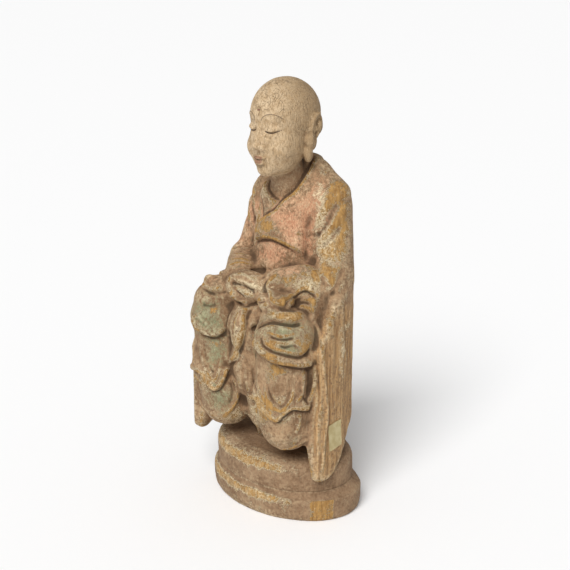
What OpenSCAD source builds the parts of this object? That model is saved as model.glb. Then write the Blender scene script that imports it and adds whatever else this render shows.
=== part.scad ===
// Seated monk, carved from joined blocks of wood on a two-tier oval plinth.
// +Z is up, the figure looks along -Y, its left hand is on +X, and the origin is the centre of
// the plinth's underside. All sizes are in millimetres.

/* [Plinth] */
// Width of the lower tier of the plinth, side to side
plinth_w = 222; // [218:1:226]
// Depth of the lower tier of the plinth, front to back
plinth_d = 156; // [153:1:160]
// Height of the lower tier's upright rim
rim_h = 30; // [26:1:32]
// Height at which the upper tier starts, above its sloping ledge
ledge_z = 40; // [38:1:42]
// Height of the upper tier's top, which the trunk stands on
seat_z = 78; // [74:1:80]

/* [Trunk] */
// Width of the trunk block between the two arm blocks
trunk_w = 112; // [106:2:114]
// Distance from the axis back to the flat behind the trunk
back_y = 58; // [56:1:60]
// Distance from the axis forward to the joint between trunk and legs
front_joint = 30; // [28:1:32]
// Height of the level joint between the lap and the arms
lap_z = 275; // [272:1:278]
// Radius of the round neck
neck_r = 22; // [20:1:23]

/* [Head] */
// Height of the crown above the plinth's underside
crown_z = 539; // [536:1:542]
// Height of the head from chin to crown
head_h = 117; // [114:1:119]
// Width of the head without its ears
head_w = 78; // [74:1:82]
// Depth of the head from brow to back
head_d = 92; // [88:1:94]

/* [Robe] */
// Distance from the axis out to the face of the robe's side falls
fall_x = 104; // [102:1:106]
// Height of the tip of the side falls
fall_tip_z = 57; // [56:1:60]
// Distance from the axis to the middle of each knee
knee_x = 58; // [56:1:60]
// Height of the lower front hem above the plinth's underside
hem_z = 94; // [92:1:98]
// Height of the upper front hem, one layer of cloth further out
upper_hem_z = 138; // [132:1:144]

/* [Fastening] */
// Radius of the wooden dowels in the arms and the falls
dowel_r = 5; // [4:0.5:5.5]
// Radius of the thicker dowels in the legs and the plinth
big_dowel_r = 6; // [5.5:0.5:7]
// Radial play of a dowel in its hole
dowel_play = 0.05; // [0.03:0.01:0.1]
// Width of a nail's square shank
nail_w = 4; // [3:0.5:5]

/* [Back cavity] */
// Width of the cover let into the back
cover_w = 46; // [40:1:48]
// Height of the cover let into the back
cover_h = 92; // [84:1:94]
// Thickness of the cover
cover_t = 9; // [8:0.5:10]
// Depth of the cavity behind the cover
cavity_d = 38; // [32:1:40]
// Gap between the cover and its recess
cover_gap = 0.4; // [0.3:0.05:0.6]

/* [Label] */
// Width of the paper label on the left fall
label_w = 25; // [20:1:26]
// Height of the paper label
label_h = 36; // [30:1:38]
// Thickness of the paper label
label_t = 0.4; // [0.3:0.05:0.5]

/* [Hidden] */
$fn = 32;

wood = "peru";
painted_wood = "rosybrown";
pale_ground = "wheat";
bare_wood = "burlywood";
iron = "dimgray";

side_x = trunk_w / 2;      // joint plane between the trunk and the arms and falls
fall_inner_x = 84;         // joint plane between the legs and the falls
cuff_x = 36;               // joint plane between the forearms and the cuffs
cuff_top_z = 322;          // the forearms and cuffs lie under this height in front of the belly
upper_w = plinth_w - 20;
upper_d = plinth_d - 13;
upper_y = -4;              // the upper tier sits this far forward on the lower one
head_y = -6;               // the head leans forward of the trunk's middle
cavity_mid_z = 205;
cover_rim = 5;             // width of the ledge that the cover rests on
tenon_r = 12;              // the head's own tenon, which goes down into the neck
tenon_z = 410;
tenon_h = 40;
neck_z = 396;              // the neck starts inside the trunk and leans forward
neck_h = 48;
neck_lean = 16;
neck_gap = 0.3;
margin = 1;                // how far a cutting tool runs past the face that it cuts
far = 400;                 // longer than any piece
mate_gap = 0.02;           // hairline between two blocks that meet

shoulder_at = [48, 28, 394];
elbow_at = [70, 12, 305];
wrist_at = [cuff_x, -54, 297];
shoulder_r = 27;
elbow_r = 27;
wrist_r = 22;
knee_at = [knee_x, -61, 239];
knee_r = 35;
collar_tilt = 30;          // the collar stands high behind the neck and dips to the chest
collar_t = 7;
collar_w = 72;
collar_h = 22;
cloth_t = 3;               // how far the upper skirt stands proud of the lower one

thin_dowel_r = dowel_r - 1;
arm_dowel_in = 16;         // how far the arm dowels go into the trunk
fall_dowel_in = 14;        // how far the fall dowels go into the trunk
dowel_out = 12;            // how far both go into the arm or the fall
leg_dowel_half = 18;       // half the length of each dowel that lies evenly across its joint
cuff_dowel_half = 10;
lap_dowel_half = 12;
trunk_dowel_half = 20;
nail_z = 0.5;              // the nails are driven in just under the plinth's face
nail_h = 56;
nail_cap_h = 2.5;

arm_dowel_at = [[22, 326], [26, 384]];   // Y and Z of each arm dowel
fall_dowel_at = [[6, 150], [14, 236]];   // Y and Z of each dowel into a fall
leg_dowel_at = [[34, 138], [34, 226]];   // X and Z of each leg dowel
cuff_dowel_at = [-54, 296];              // Y and Z of the dowels between cuffs and forearms
label_at = [-18, 114];                   // Y and Z of the label's middle
fall_edge_a = [fall_x, -42];             // front end of the fall's outer face, seen from above
fall_edge_b = [fall_x - 4, -4];          // back end of that face
tier_gap = 0.4;                          // gap between a fall and the upper tier that it passes
right_fall_front = -74;                  // the right fall reaches further forward, beside the leg
left_fall_profile = [
    [-60, lap_z], [60, lap_z], [60, 170], [46, 138], [32, 110], [14, 92],
    [-12, 72], [-26, fall_tip_z + 1], [-38, fall_tip_z], [-47, 66], [-60, 130],
];
right_fall_profile = [
    [-54, lap_z], [60, lap_z], [60, 170], [46, 138], [32, 118], [14, 106],
    [-16, 98], [-48, 92], [-58, fall_tip_z + 22], [-69, fall_tip_z + 22], [-76, 90], [-76, 216],
];
trunk_dowel_at = [30, 16];               // X and Y of the dowels that stand the trunk on the plinth
nail_at = [66, 26];                      // X and Y of the plinth nails

// ---- plain shapes -------------------------------------------------------------------------

module oval(w, d, h) {
    linear_extrude(h)
        polygon([for (turn = [0:10:350]) [w / 2 * cos(turn), d / 2 * sin(turn)]]);
}

module slab(centre_y, z, w, d, h = 1) {
    translate([0, centre_y, z]) oval(w, d, h);
}

module ball(place, r) {
    translate(place) sphere(r, $fn = 20);
}

module block(low, high) {
    translate(low) cube(high - low);
}

module dowel_x(x0, x1, y, z, r) {
    translate([x0, y, z]) rotate([0, 90, 0]) cylinder(h = x1 - x0, r = r);
}

module dowel_y(y0, y1, x, z, r) {
    translate([x, y0, z]) rotate([-90, 0, 0]) cylinder(h = y1 - y0, r = r);
}

module on_both_sides() {
    children();
    mirror([1, 0, 0]) children();
}

// ---- dowels, drawn with r for the dowel itself and with a little play for its hole --------

module arm_dowel_set(play) {
    for (at = arm_dowel_at)
        dowel_x(side_x - arm_dowel_in - play, side_x + dowel_out + play, at[0], at[1], dowel_r + play);
}

module fall_dowel_set(play) {
    for (at = fall_dowel_at)
        dowel_x(side_x - fall_dowel_in - play, side_x + dowel_out + play, at[0], at[1], dowel_r + play);
}

module leg_dowel_set(play) {
    for (at = leg_dowel_at)
        dowel_y(-front_joint - leg_dowel_half - play, -front_joint + leg_dowel_half + play,
            at[0], at[1], big_dowel_r + play);
}

module cuff_dowel_set(play) {
    dowel_x(cuff_x - cuff_dowel_half - play, cuff_x + cuff_dowel_half + play,
        cuff_dowel_at[0], cuff_dowel_at[1], thin_dowel_r + play);
}

module lap_dowel_shape(play) {
    dowel_y(-front_joint - lap_dowel_half - play, -front_joint + lap_dowel_half + play,
        0, cuff_dowel_at[1], thin_dowel_r + play);
}

module trunk_dowel_set(play) {
    translate([trunk_dowel_at[0], trunk_dowel_at[1], seat_z - trunk_dowel_half - play])
        cylinder(h = 2 * (trunk_dowel_half + play), r = big_dowel_r + play);
}

module nail(play) {
    shank = nail_w + 2 * play;
    cap = 2 * (nail_w + play);
    translate([nail_at[0], nail_at[1], nail_z]) {
        translate([-shank / 2, -shank / 2, 0]) cube([shank, shank, nail_h + play]);
        translate([-cap / 2, -cap / 2, 0]) cube([cap, cap, nail_cap_h + play]);
    }
}

module nails_in_one_half(play) {
    nail(play);
    mirror([0, 1, 0]) nail(play);
}

// ---- plinth -------------------------------------------------------------------------------

module plinth_lower_tier() {
    color(wood) difference() {
        hull() {
            slab(0, 0, plinth_w - 8, plinth_d - 8);
            slab(0, 5, plinth_w, plinth_d, rim_h - 9);
            slab(0, rim_h, plinth_w - 8, plinth_d - 6);
            slab(upper_y, ledge_z - 1, upper_w - 6, upper_d - 6);
        }
        on_both_sides() nails_in_one_half(dowel_play);
        on_both_sides() nail_mouths();
    }
}

// The short square pits in the underside that the nail heads are sunk in.
module nail_mouths() {
    cap = 2 * (nail_w + dowel_play);
    for (y = [-nail_at[1], nail_at[1]])
        translate([nail_at[0] - cap / 2, y - cap / 2, -margin]) cube([cap, cap, 2 * margin]);
}

module upper_tier_body(grow = 0) {
    hull() {
        slab(upper_y, ledge_z, upper_w + 2 * grow, upper_d + 2 * grow);
        slab(upper_y, seat_z - 12, upper_w - 2 + 2 * grow, upper_d - 2 + 2 * grow);
        slab(upper_y, seat_z - 1, upper_w - 18 + 2 * grow, upper_d - 18 + 2 * grow);
    }
}

module plinth_upper_tier() {
    color(wood) difference() {
        upper_tier_body();
        on_both_sides() nails_in_one_half(dowel_play);
        on_both_sides() trunk_dowel_set(dowel_play);
    }
}

// ---- trunk, head and cover ----------------------------------------------------------------

module trunk_outline() {
    intersection() {
        union() {
            hull() {
                slab(4, seat_z, 128, 92);
                slab(12, 150, 168, 104);
                slab(16, lap_z, 168, 100);
            }
            hull() {
                slab(14, lap_z - 1, 138, 92);
                slab(14, 360, 134, 88);
                slab(20, 404, 118, 68);
                slab(22, 424, 64, 52);
            }
        }
        union() {
            block([-side_x, -front_joint, seat_z], [side_x, back_y, far]);
            block([-side_x, -far, cuff_top_z], [side_x, back_y, far + 100]);
        }
    }
}

// The crossed collar, a tilted oval ring round the neck.
module collar() {
    inner_w = collar_w - 2 * collar_t;
    translate([0, 16, 396]) rotate([collar_tilt, 0, 0]) difference() {
        oval(collar_w, collar_w, collar_h);
        translate([0, 0, -margin]) oval(inner_w, inner_w, collar_h + 2 * margin);
    }
}

module neck(grow = 0) {
    translate([0, 4, neck_z]) rotate([neck_lean, 0, 0]) cylinder(h = neck_h + grow, r = neck_r + grow);
}

module cover_recess() {
    block([-cover_w / 2, back_y - cover_t, cavity_mid_z - cover_h / 2],
        [cover_w / 2, back_y + margin, cavity_mid_z + cover_h / 2]);
}

// The cavity is a little smaller than the cover, which rests on the rim left round it.
module cavity() {
    half_w = cover_w / 2 - cover_rim;
    half_h = cover_h / 2 - cover_rim;
    block([-half_w, back_y - cover_t - cavity_d, cavity_mid_z - half_h],
        [half_w, back_y, cavity_mid_z + half_h]);
}

module trunk() {
    color(painted_wood) difference() {
        union() {
            trunk_outline();
            collar();
            neck();
        }
        translate([0, head_y, tenon_z - 2]) cylinder(h = far, r = tenon_r + dowel_play);
        cover_recess();
        cavity();
        on_both_sides() arm_dowel_set(dowel_play);
        on_both_sides() fall_dowel_set(dowel_play);
        on_both_sides() leg_dowel_set(dowel_play);
        on_both_sides() trunk_dowel_set(dowel_play);
        lap_dowel_shape(dowel_play);
    }
}

module head() {
    chin_z = crown_z - head_h;
    color(pale_ground) difference() {
        union() {
            hull() {
                translate([0, head_y + 4, crown_z - 44]) scale([head_w / 88, head_d / 88, 1])
                    sphere(44, $fn = 28);
                ball([0, head_y - 22, chin_z + 17], 17);
                ball([0, head_y - 4, chin_z + 20], 17);
            }
            on_both_sides() hull() {
                ball([head_w / 2 - 1, head_y + 12, crown_z - 53], 7);
                ball([head_w / 2 - 3, head_y + 6, crown_z - 95], 4.5);
            }
            translate([0, head_y, tenon_z]) cylinder(h = tenon_h, r = tenon_r);
        }
        neck_seat();
    }
}

// The neck sits up inside the head, in a seat a little wider than itself.
module neck_seat() {
    difference() {
        neck(neck_gap);
        translate([0, head_y, neck_z]) cylinder(h = far, r = tenon_r);
    }
}

module back_cover() {
    half_w = cover_w / 2 - cover_gap;
    half_h = cover_h / 2 - cover_gap;
    color(painted_wood) block([-half_w, back_y - cover_t + mate_gap, cavity_mid_z - half_h],
        [half_w, back_y, cavity_mid_z + half_h]);
}

// ---- arms and cuffs -----------------------------------------------------------------------

module arm_outline() {
    intersection() {
        union() {
            hull() {
                ball(shoulder_at, shoulder_r);
                ball(elbow_at, elbow_r);
            }
            hull() {
                ball(elbow_at + [2, -8, -2], elbow_r + 1);
                ball(wrist_at, wrist_r);
            }
            hull() {
                ball(shoulder_at + [0, 6, -18], 22);
                ball(elbow_at + [4, 16, 0], 20);
                block([side_x, 10, lap_z], [92, 40, lap_z + 4]);
            }
        }
        union() {
            block([side_x, -far, lap_z], [fall_x, back_y, far + 100]);
            block([cuff_x, -far, lap_z], [side_x + margin, -front_joint, cuff_top_z]);
        }
    }
}

module left_arm() {
    color(painted_wood) difference() {
        arm_outline();
        arm_dowel_set(dowel_play);
        cuff_dowel_set(dowel_play);
    }
}

module right_arm() {
    mirror([1, 0, 0]) left_arm();
}

module joined_cuffs() {
    color(painted_wood) difference() {
        intersection() {
            hull() {
                ball([-30, -54, 297], 23);
                ball([30, -54, 297], 23);
                ball([0, -62, 292], 21);
                block([-cuff_x, -40, lap_z], [cuff_x, -front_joint, 310]);
            }
            block([-cuff_x, -far, lap_z], [cuff_x, -front_joint, cuff_top_z]);
        }
        on_both_sides() cuff_dowel_set(dowel_play);
        lap_dowel_shape(dowel_play);
    }
}

// ---- legs and side falls ------------------------------------------------------------------

// One skirt hangs from the knee to a rounded hem, grow being how far it stands proud.
module skirt(low_z, grow) {
    intersection() {
        hull() {
            translate([knee_x - 4, -50, low_z]) cylinder(h = 2, r = 33 + grow, $fn = 24);
            translate([knee_x - 1, -54, 160]) cylinder(h = 2, r = 35 + grow, $fn = 24);
            translate([knee_x, -57, 220]) cylinder(h = 2, r = 34 + grow, $fn = 24);
            block([0, -front_joint - 4 - grow, low_z + 8], [60, -front_joint, 240]);
        }
        translate([0, -front_joint, 0]) rotate([90, 0, 0]) linear_extrude(far) hem_outline(low_z);
    }
}

// Seen from the front: straight sides and a hem that hangs in an arc.
module hem_outline(low_z) {
    hem_r = 62;
    union() {
        translate([knee_x - 6, low_z + hem_r]) circle(r = hem_r, $fn = 60);
        translate([-margin, low_z + hem_r * 0.7]) square([fall_inner_x + margin, lap_z]);
    }
}

module leg_outline() {
    intersection() {
        union() {
            hull() {
                ball(knee_at, knee_r);
                ball(knee_at + [-14, 31, 6], knee_r - 1);
                ball(knee_at + [-4, 0, -34], knee_r - 3);
            }
            skirt(upper_hem_z, cloth_t);
            skirt(hem_z, 0);
        }
        block([0, -far, seat_z], [fall_inner_x, -front_joint, lap_z]);
    }
}

module left_leg() {
    color(painted_wood) difference() {
        leg_outline();
        leg_dowel_set(dowel_play);
    }
}

module right_leg() {
    mirror([1, 0, 0]) left_leg();
}

// A fall seen from above, front_y being how far forward it reaches beside the leg.
module fall_plan(front_y) {
    polygon([[side_x, -front_joint], [fall_inner_x, -front_joint], [fall_inner_x, front_y + 2],
        [98, front_y], [fall_x, front_y + 8], fall_edge_b, [86, 30], [side_x, 50]]);
}

// A fall seen from the side, as points of Y and Z.
module robe_fall(front_y, profile) {
    difference() {
        intersection() {
            translate([0, 0, 40]) linear_extrude(lap_z - 40) fall_plan(front_y);
            translate([far / 2, 0, 0]) rotate([90, 0, -90]) mirror([1, 0, 0])
                linear_extrude(far / 2) polygon(profile);
        }
        upper_tier_body(tier_gap);
        block([0, -60, 40], [side_x + 14, 60, seat_z + 24]);
        fall_dowel_set(dowel_play);
    }
}

module left_robe_fall() {
    color(wood) robe_fall(fall_edge_a[1] - 8, left_fall_profile);
}

module right_robe_fall() {
    color(wood) mirror([1, 0, 0]) robe_fall(right_fall_front, right_fall_profile);
}

// ---- dowels, nails and label --------------------------------------------------------------

module arm_dowels() {
    color(bare_wood) on_both_sides() arm_dowel_set(0);
}

module cuff_dowels() {
    color(bare_wood) on_both_sides() cuff_dowel_set(0);
}

module lap_dowel() {
    color(bare_wood) lap_dowel_shape(0);
}

module leg_dowels() {
    color(bare_wood) on_both_sides() leg_dowel_set(0);
}

module fall_dowels() {
    color(bare_wood) on_both_sides() fall_dowel_set(0);
}

module trunk_dowels() {
    color(bare_wood) on_both_sides() trunk_dowel_set(0);
}

module plinth_nails() {
    color(iron) on_both_sides() nails_in_one_half(0);
}

module paper_label() {
    run = fall_edge_a - fall_edge_b;
    along = (label_at[0] - fall_edge_a[1]) / (fall_edge_b[1] - fall_edge_a[1]);
    spot = fall_edge_a - run * along;
    color("palegoldenrod") translate([spot[0], spot[1], label_at[1]])
        rotate([0, 0, atan2(run[0], -run[1])])
            translate([mate_gap, -label_w / 2, -label_h / 2]) cube([label_t, label_w, label_h]);
}

plinth_lower_tier();
plinth_upper_tier();
trunk();
head();
left_arm();
right_arm();
joined_cuffs();
left_leg();
right_leg();
left_robe_fall();
right_robe_fall();
back_cover();
arm_dowels();
cuff_dowels();
lap_dowel();
leg_dowels();
fall_dowels();
trunk_dowels();
plinth_nails();
paper_label();
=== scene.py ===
import math
import bpy
import numpy as np
from mathutils import Matrix, Vector
from mathutils.bvhtree import BVHTree
from mathutils.kdtree import KDTree


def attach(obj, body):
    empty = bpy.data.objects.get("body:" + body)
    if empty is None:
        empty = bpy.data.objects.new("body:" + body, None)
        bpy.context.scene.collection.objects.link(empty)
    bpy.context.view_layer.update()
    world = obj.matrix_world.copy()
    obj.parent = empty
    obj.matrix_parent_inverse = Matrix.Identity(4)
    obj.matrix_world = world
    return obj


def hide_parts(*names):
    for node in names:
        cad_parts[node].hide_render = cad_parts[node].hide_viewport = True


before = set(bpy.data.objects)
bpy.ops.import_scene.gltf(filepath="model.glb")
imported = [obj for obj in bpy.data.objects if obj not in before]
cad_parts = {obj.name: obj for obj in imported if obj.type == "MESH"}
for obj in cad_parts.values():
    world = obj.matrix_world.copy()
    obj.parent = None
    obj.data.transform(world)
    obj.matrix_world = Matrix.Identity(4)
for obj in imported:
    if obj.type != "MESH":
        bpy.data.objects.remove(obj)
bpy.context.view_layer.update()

bpy.ops.object.select_all(action="DESELECT")
mm = 0.001
axisY = 0.005                  # the figure's own axis stands this far behind the plinth's middle


cameraSet = {
    "azimuth": 45,             # seen from the figure's left front
    "distance": 1.4,
    "height": 0.72,
    "pitch": 17.5,
    "lens": 74,
    "aside": -0.005,           # the figure stands a little right of the middle
}


def cameraFrame():
    turn = math.radians(cameraSet["azimuth"])
    pitch = math.radians(cameraSet["pitch"])
    right = Vector((math.cos(turn), math.sin(turn), 0))
    level = Vector((-math.sin(turn), math.cos(turn), 0))
    place = Vector((0, axisY, cameraSet["height"])) - level * cameraSet["distance"]
    place += right * cameraSet["aside"]
    forward = level * math.cos(pitch) + Vector((0, 0, -math.sin(pitch)))
    return place, forward, right


def addCamera():
    place, forward, right = cameraFrame()
    bpy.ops.object.camera_add(location=place, rotation=forward.to_track_quat("-Z", "Y").to_euler())
    camera = bpy.context.object
    camera.name = "viewer"
    camera.data.lens = cameraSet["lens"]
    camera.data.sensor_width = 36
    bpy.context.scene.camera = camera
    print("camera placed")


addCamera()


def lump(at, size, turn=(0, 0, 0)):       # an ellipsoid
    bpy.ops.mesh.primitive_uv_sphere_add(segments=40, ring_count=24, radius=1)
    piece = bpy.context.object
    piece.scale = Vector(size) * mm
    piece.rotation_euler = [math.radians(a) for a in turn]
    piece.location = Vector(at) * mm
    bpy.ops.object.transform_apply()
    return piece


def limb(start, startR, end, endR):
    a, b = Vector(start) * mm, Vector(end) * mm
    bpy.ops.mesh.primitive_cone_add(vertices=40, radius1=startR * mm, radius2=endR * mm,
                                    depth=(b - a).length, location=(a + b) / 2,
                                    rotation=(b - a).to_track_quat("Z", "Y").to_euler())
    cone = bpy.context.object
    bpy.ops.object.transform_apply()
    return [cone, lump(start, (startR,) * 3), lump(end, (endR,) * 3)]


def loft(levels):                          # levels: z, x, y, half width, half depth
    z, cx, cy, halfW, halfD = levels[0]
    bpy.ops.mesh.primitive_circle_add(vertices=56, radius=1, fill_type="NGON")
    piece = bpy.context.object
    piece.scale = (halfW * mm, halfD * mm, 1)
    piece.location = (cx * mm, cy * mm, z * mm)
    bpy.ops.object.transform_apply()
    bpy.ops.object.mode_set(mode="EDIT")
    bpy.ops.mesh.select_all(action="SELECT")
    for nz, nx, ny, nw, nd in levels[1:]:
        bpy.ops.mesh.extrude_region_move(
            TRANSFORM_OT_translate={"value": ((nx - cx) * mm, (ny - cy) * mm, (nz - z) * mm)})
        bpy.ops.transform.resize(value=(nw / halfW, nd / halfD, 1),
                                 center_override=(nx * mm, ny * mm, nz * mm))
        z, cx, cy, halfW, halfD = nz, nx, ny, nw, nd
    bpy.ops.mesh.select_all(action="SELECT")
    bpy.ops.mesh.normals_make_consistent(inside=False)
    bpy.ops.object.mode_set(mode="OBJECT")
    return piece


def slab(low, high):
    bpy.ops.mesh.primitive_cube_add(size=1)
    piece = bpy.context.object
    piece.scale = (Vector(high) - Vector(low)) * mm
    piece.location = (Vector(high) + Vector(low)) / 2 * mm
    bpy.ops.object.transform_apply()
    return piece


def pare(piece, spot, outward):            # cuts off what lies beyond a plane
    bpy.ops.object.select_all(action="DESELECT")
    bpy.context.view_layer.objects.active = piece
    piece.select_set(True)
    bpy.ops.object.mode_set(mode="EDIT")
    bpy.ops.mesh.select_all(action="SELECT")
    bpy.ops.mesh.bisect(plane_co=Vector(spot) * mm, plane_no=outward, use_fill=True,
                        clear_outer=True, clear_inner=False)
    bpy.ops.object.mode_set(mode="OBJECT")
    return piece


def mirrored(pieces):
    made = []
    for piece in pieces:
        twin = piece.copy()
        twin.data = piece.data.copy()
        bpy.context.scene.collection.objects.link(twin)
        twin.data.transform(Matrix.Scale(-1, 4, (1, 0, 0)))
        twin.data.flip_normals()
        made.append(twin)
    return made


def only(piece):
    bpy.ops.object.select_all(action="DESELECT")
    piece.select_set(True)
    bpy.context.view_layer.objects.active = piece


def joined(name, pieces):
    bpy.ops.object.select_all(action="DESELECT")
    for piece in pieces:
        piece.select_set(True)
    bpy.context.view_layer.objects.active = pieces[0]
    bpy.ops.object.join()
    piece = bpy.context.object
    piece.name = name
    piece.data.name = name
    return piece


def finishWith(piece, kind, **values):
    only(piece)
    step = piece.modifiers.new(kind.lower(), kind)
    for key, value in values.items():
        setattr(step, key, value)
    bpy.ops.object.modifier_apply(modifier=step.name)


def reskin(piece, grain, relax=0, strength=0.5):
    finishWith(piece, "REMESH", mode="VOXEL", voxel_size=grain * mm, use_smooth_shade=True)
    if relax:
        finishWith(piece, "SMOOTH", factor=strength, iterations=relax)


def readPoints(piece):
    points = np.empty(len(piece.data.vertices) * 3, dtype=np.float32)
    piece.data.vertices.foreach_get("co", points)
    return points.reshape(-1, 3)


def readNormals(piece):
    normals = np.empty(len(piece.data.vertices) * 3, dtype=np.float32)
    piece.data.vertex_normals.foreach_get("vector", normals)
    return normals.reshape(-1, 3)


def writePoints(piece, points):
    piece.data.vertices.foreach_set("co", points.astype(np.float32).ravel())
    piece.data.update()


def surfaceTree(piece):
    graph = bpy.context.evaluated_depsgraph_get()
    return BVHTree.FromObject(piece, graph)


def eyeAndPlane(view):
    if view == "left":
        place, forward, right = cameraFrame()
        return place, right
    if view == "right":
        place, forward, right = cameraFrame()
        return Vector((-place.x, place.y, place.z)), Vector((right.x, -right.y, 0))
    azimuth, height = view
    turn = math.radians(azimuth)
    right = Vector((math.cos(turn), math.sin(turn), 0))
    level = Vector((-math.sin(turn), math.cos(turn), 0))
    return Vector((0, axisY, height)) - level * 1.4, right


def curveThrough(spots, step=1.0):
    spots = [np.array(s, dtype=float) for s in spots]
    if len(spots) == 2:
        spots = [spots[0], (spots[0] + spots[1]) / 2, spots[1]]
    ends = [2 * spots[0] - spots[1]] + spots + [2 * spots[-1] - spots[-2]]
    line = []
    for i in range(1, len(ends) - 2):
        p0, p1, p2, p3 = ends[i - 1:i + 3]
        count = max(2, int(np.linalg.norm(p2 - p1) / step))
        for t in np.linspace(0, 1, count, endpoint=False):
            line.append(0.5 * (2 * p1 + (p2 - p0) * t + (2 * p0 - 5 * p1 + 4 * p2 - p3) * t * t
                               + (3 * p1 - p0 - 3 * p2 + p3) * t ** 3))
    line.append(spots[-1])
    return np.array(line)


def onSurface(tree, spots, view):
    eye, right = eyeAndPlane(view)
    hits, normals = [], []
    for across, up in curveThrough(spots):
        target = Vector((0, axisY, 0)) + right * across * mm + Vector((0, 0, up * mm))
        hit, normal, index, far = tree.ray_cast(eye, (target - eye).normalized())
        if hit is not None:
            hits.append(hit)
            normals.append(normal)
    hits, normals = np.array(hits), np.array(normals)
    for _ in range(3):         # takes out jumps where the line crosses an edge
        normals[1:-1] = (normals[:-2] + 2 * normals[1:-1] + normals[2:]) / 4
    normals /= np.linalg.norm(normals, axis=1)[:, None]
    return hits, normals


def smoothRuns(path):          # the stretches that stay on one surface
    jumps = np.where(np.linalg.norm(np.diff(path, axis=0), axis=1) > 5.5 * mm)[0] + 1
    return [run for run in np.split(np.arange(len(path)), jumps) if len(run) > 5]


def smoothStep(low, high, value):
    t = np.clip((value - low) / (high - low), 0, 1)
    return t * t * (3 - 2 * t)


def strokeWeights(points, normals, path, pathNormals, reach, ends, first=0, whole=None):
    low, high = path.min(axis=0) - reach, path.max(axis=0) + reach
    near = np.where(np.all((points > low) & (points < high), axis=1))[0]
    if not len(near):
        return None
    spots = points[near]
    best = np.full(len(near), 1e9)
    which = np.zeros(len(near), dtype=int)
    for i, q in enumerate(path):
        gap = ((spots - q) ** 2).sum(axis=1)
        closer = gap < best
        best[closer] = gap[closer]
        which[closer] = i
    gap = np.sqrt(best)
    keep = gap < reach
    near, spots, which, gap = near[keep], spots[keep], which[keep], gap[keep]
    along = np.gradient(path, axis=0)
    along /= np.linalg.norm(along, axis=1)[:, None] + 1e-12
    across = np.cross(pathNormals, along)[which]
    side = ((spots - path[which]) * across).sum(axis=1)
    facing = (normals[near] * pathNormals[which]).sum(axis=1)
    t = (which + first) / max(1, (whole or len(path)) - 1)
    startEnd, stopEnd = ends
    strength = np.ones(len(t))
    if startEnd > 0:
        strength *= smoothStep(0, startEnd, t)
    if stopEnd > 0:
        strength *= smoothStep(0, stopEnd, 1 - t)
    return near, gap, side, strength * smoothStep(-0.3, 0.4, facing)


def carve(piece, strokes):
    tree = surfaceTree(piece)
    points, normals = readPoints(piece), readNormals(piece)
    moved = np.zeros(len(points), dtype=np.float32)
    for stroke in strokes:
        kind, view, spots, width, height = stroke[:5]
        ends = stroke[5] if len(stroke) > 5 else (0.2, 0.2)
        fade = (stroke[6] if len(stroke) > 6 else 22) * mm
        path, pathNormals = onSurface(tree, spots, view)
        if len(path) < 3:
            continue
        width, height = width * mm, height * mm
        reach = fade if kind == "hem" else width * 2.6
        for run in smoothRuns(path):
            found = strokeWeights(points, normals, path[run], pathNormals[run], reach, ends, run[0], len(path))
            if found is None:
                continue
            near, gap, side, strength = found
            if kind == "ridge":
                shape = np.exp(-(gap / width) ** 2)
            elif kind == "groove":
                shape = -np.exp(-(gap / width) ** 2)
            elif kind == "cut":                # a narrow V with firm sides
                shape = -np.clip(1 - gap / (width * 1.3), 0, 1) ** 1.2
            else:                              # hem: proud on the left of the stroke
                rise = smoothStep(-width, width, side)
                fall = 1 - smoothStep(fade * 0.15, fade, gap)
                lip = 0.35 * np.exp(-((side - width * 1.6) / (width * 1.6)) ** 2)
                under = -0.45 * np.exp(-((side + width * 1.5) / (width * 1.5)) ** 2)
                shape = (rise * fall + lip + under) * (gap < fade)
            moved[near] += (shape * strength * height).astype(np.float32)
    writePoints(piece, points + normals * moved[:, None])


def otherSide(strokes):
    made = []
    for stroke in strokes:
        spots = [(-a, z) for a, z in stroke[2]]
        if stroke[0] == "hem":
            spots = spots[::-1]
        view = "right" if stroke[1] == "left" else (-stroke[1][0], stroke[1][1])
        made.append((stroke[0], view, spots) + tuple(stroke[3:]))
    return made


robeSet = {
    "trunk": [                 # z, x, y, half width, half depth
        (76, 0, 6, 50, 36), (98, 0, 8, 53, 40), (112, 0, 10, 66, 43), (135, 0, 12, 77, 45), (220, 0, 12, 80, 46),
        (262, 0, 12, 76, 46), (290, 0, 12, 64, 45), (320, 0, 13, 58, 43), (360, 0, 15, 56, 41), (388, 0, 20, 55, 37),
        (406, 0, 24, 49, 33), (420, 0, 29, 38, 26), (432, 0, 33, 29, 21), (441, 0, 36, 21, 15),
    ],
    "skirt": [
        (128, 54, -53, 33, 33), (150, 54, -54, 36, 36), (200, 56, -56, 37, 37), (240, 57, -57, 35, 35),
    ],
    "firstGrain": 2.4,
    "carveGrain": 1.8,
    "foldGrain": 1.4,
    "lastGrain": 1.2,
    "soften": 3,
}


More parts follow.
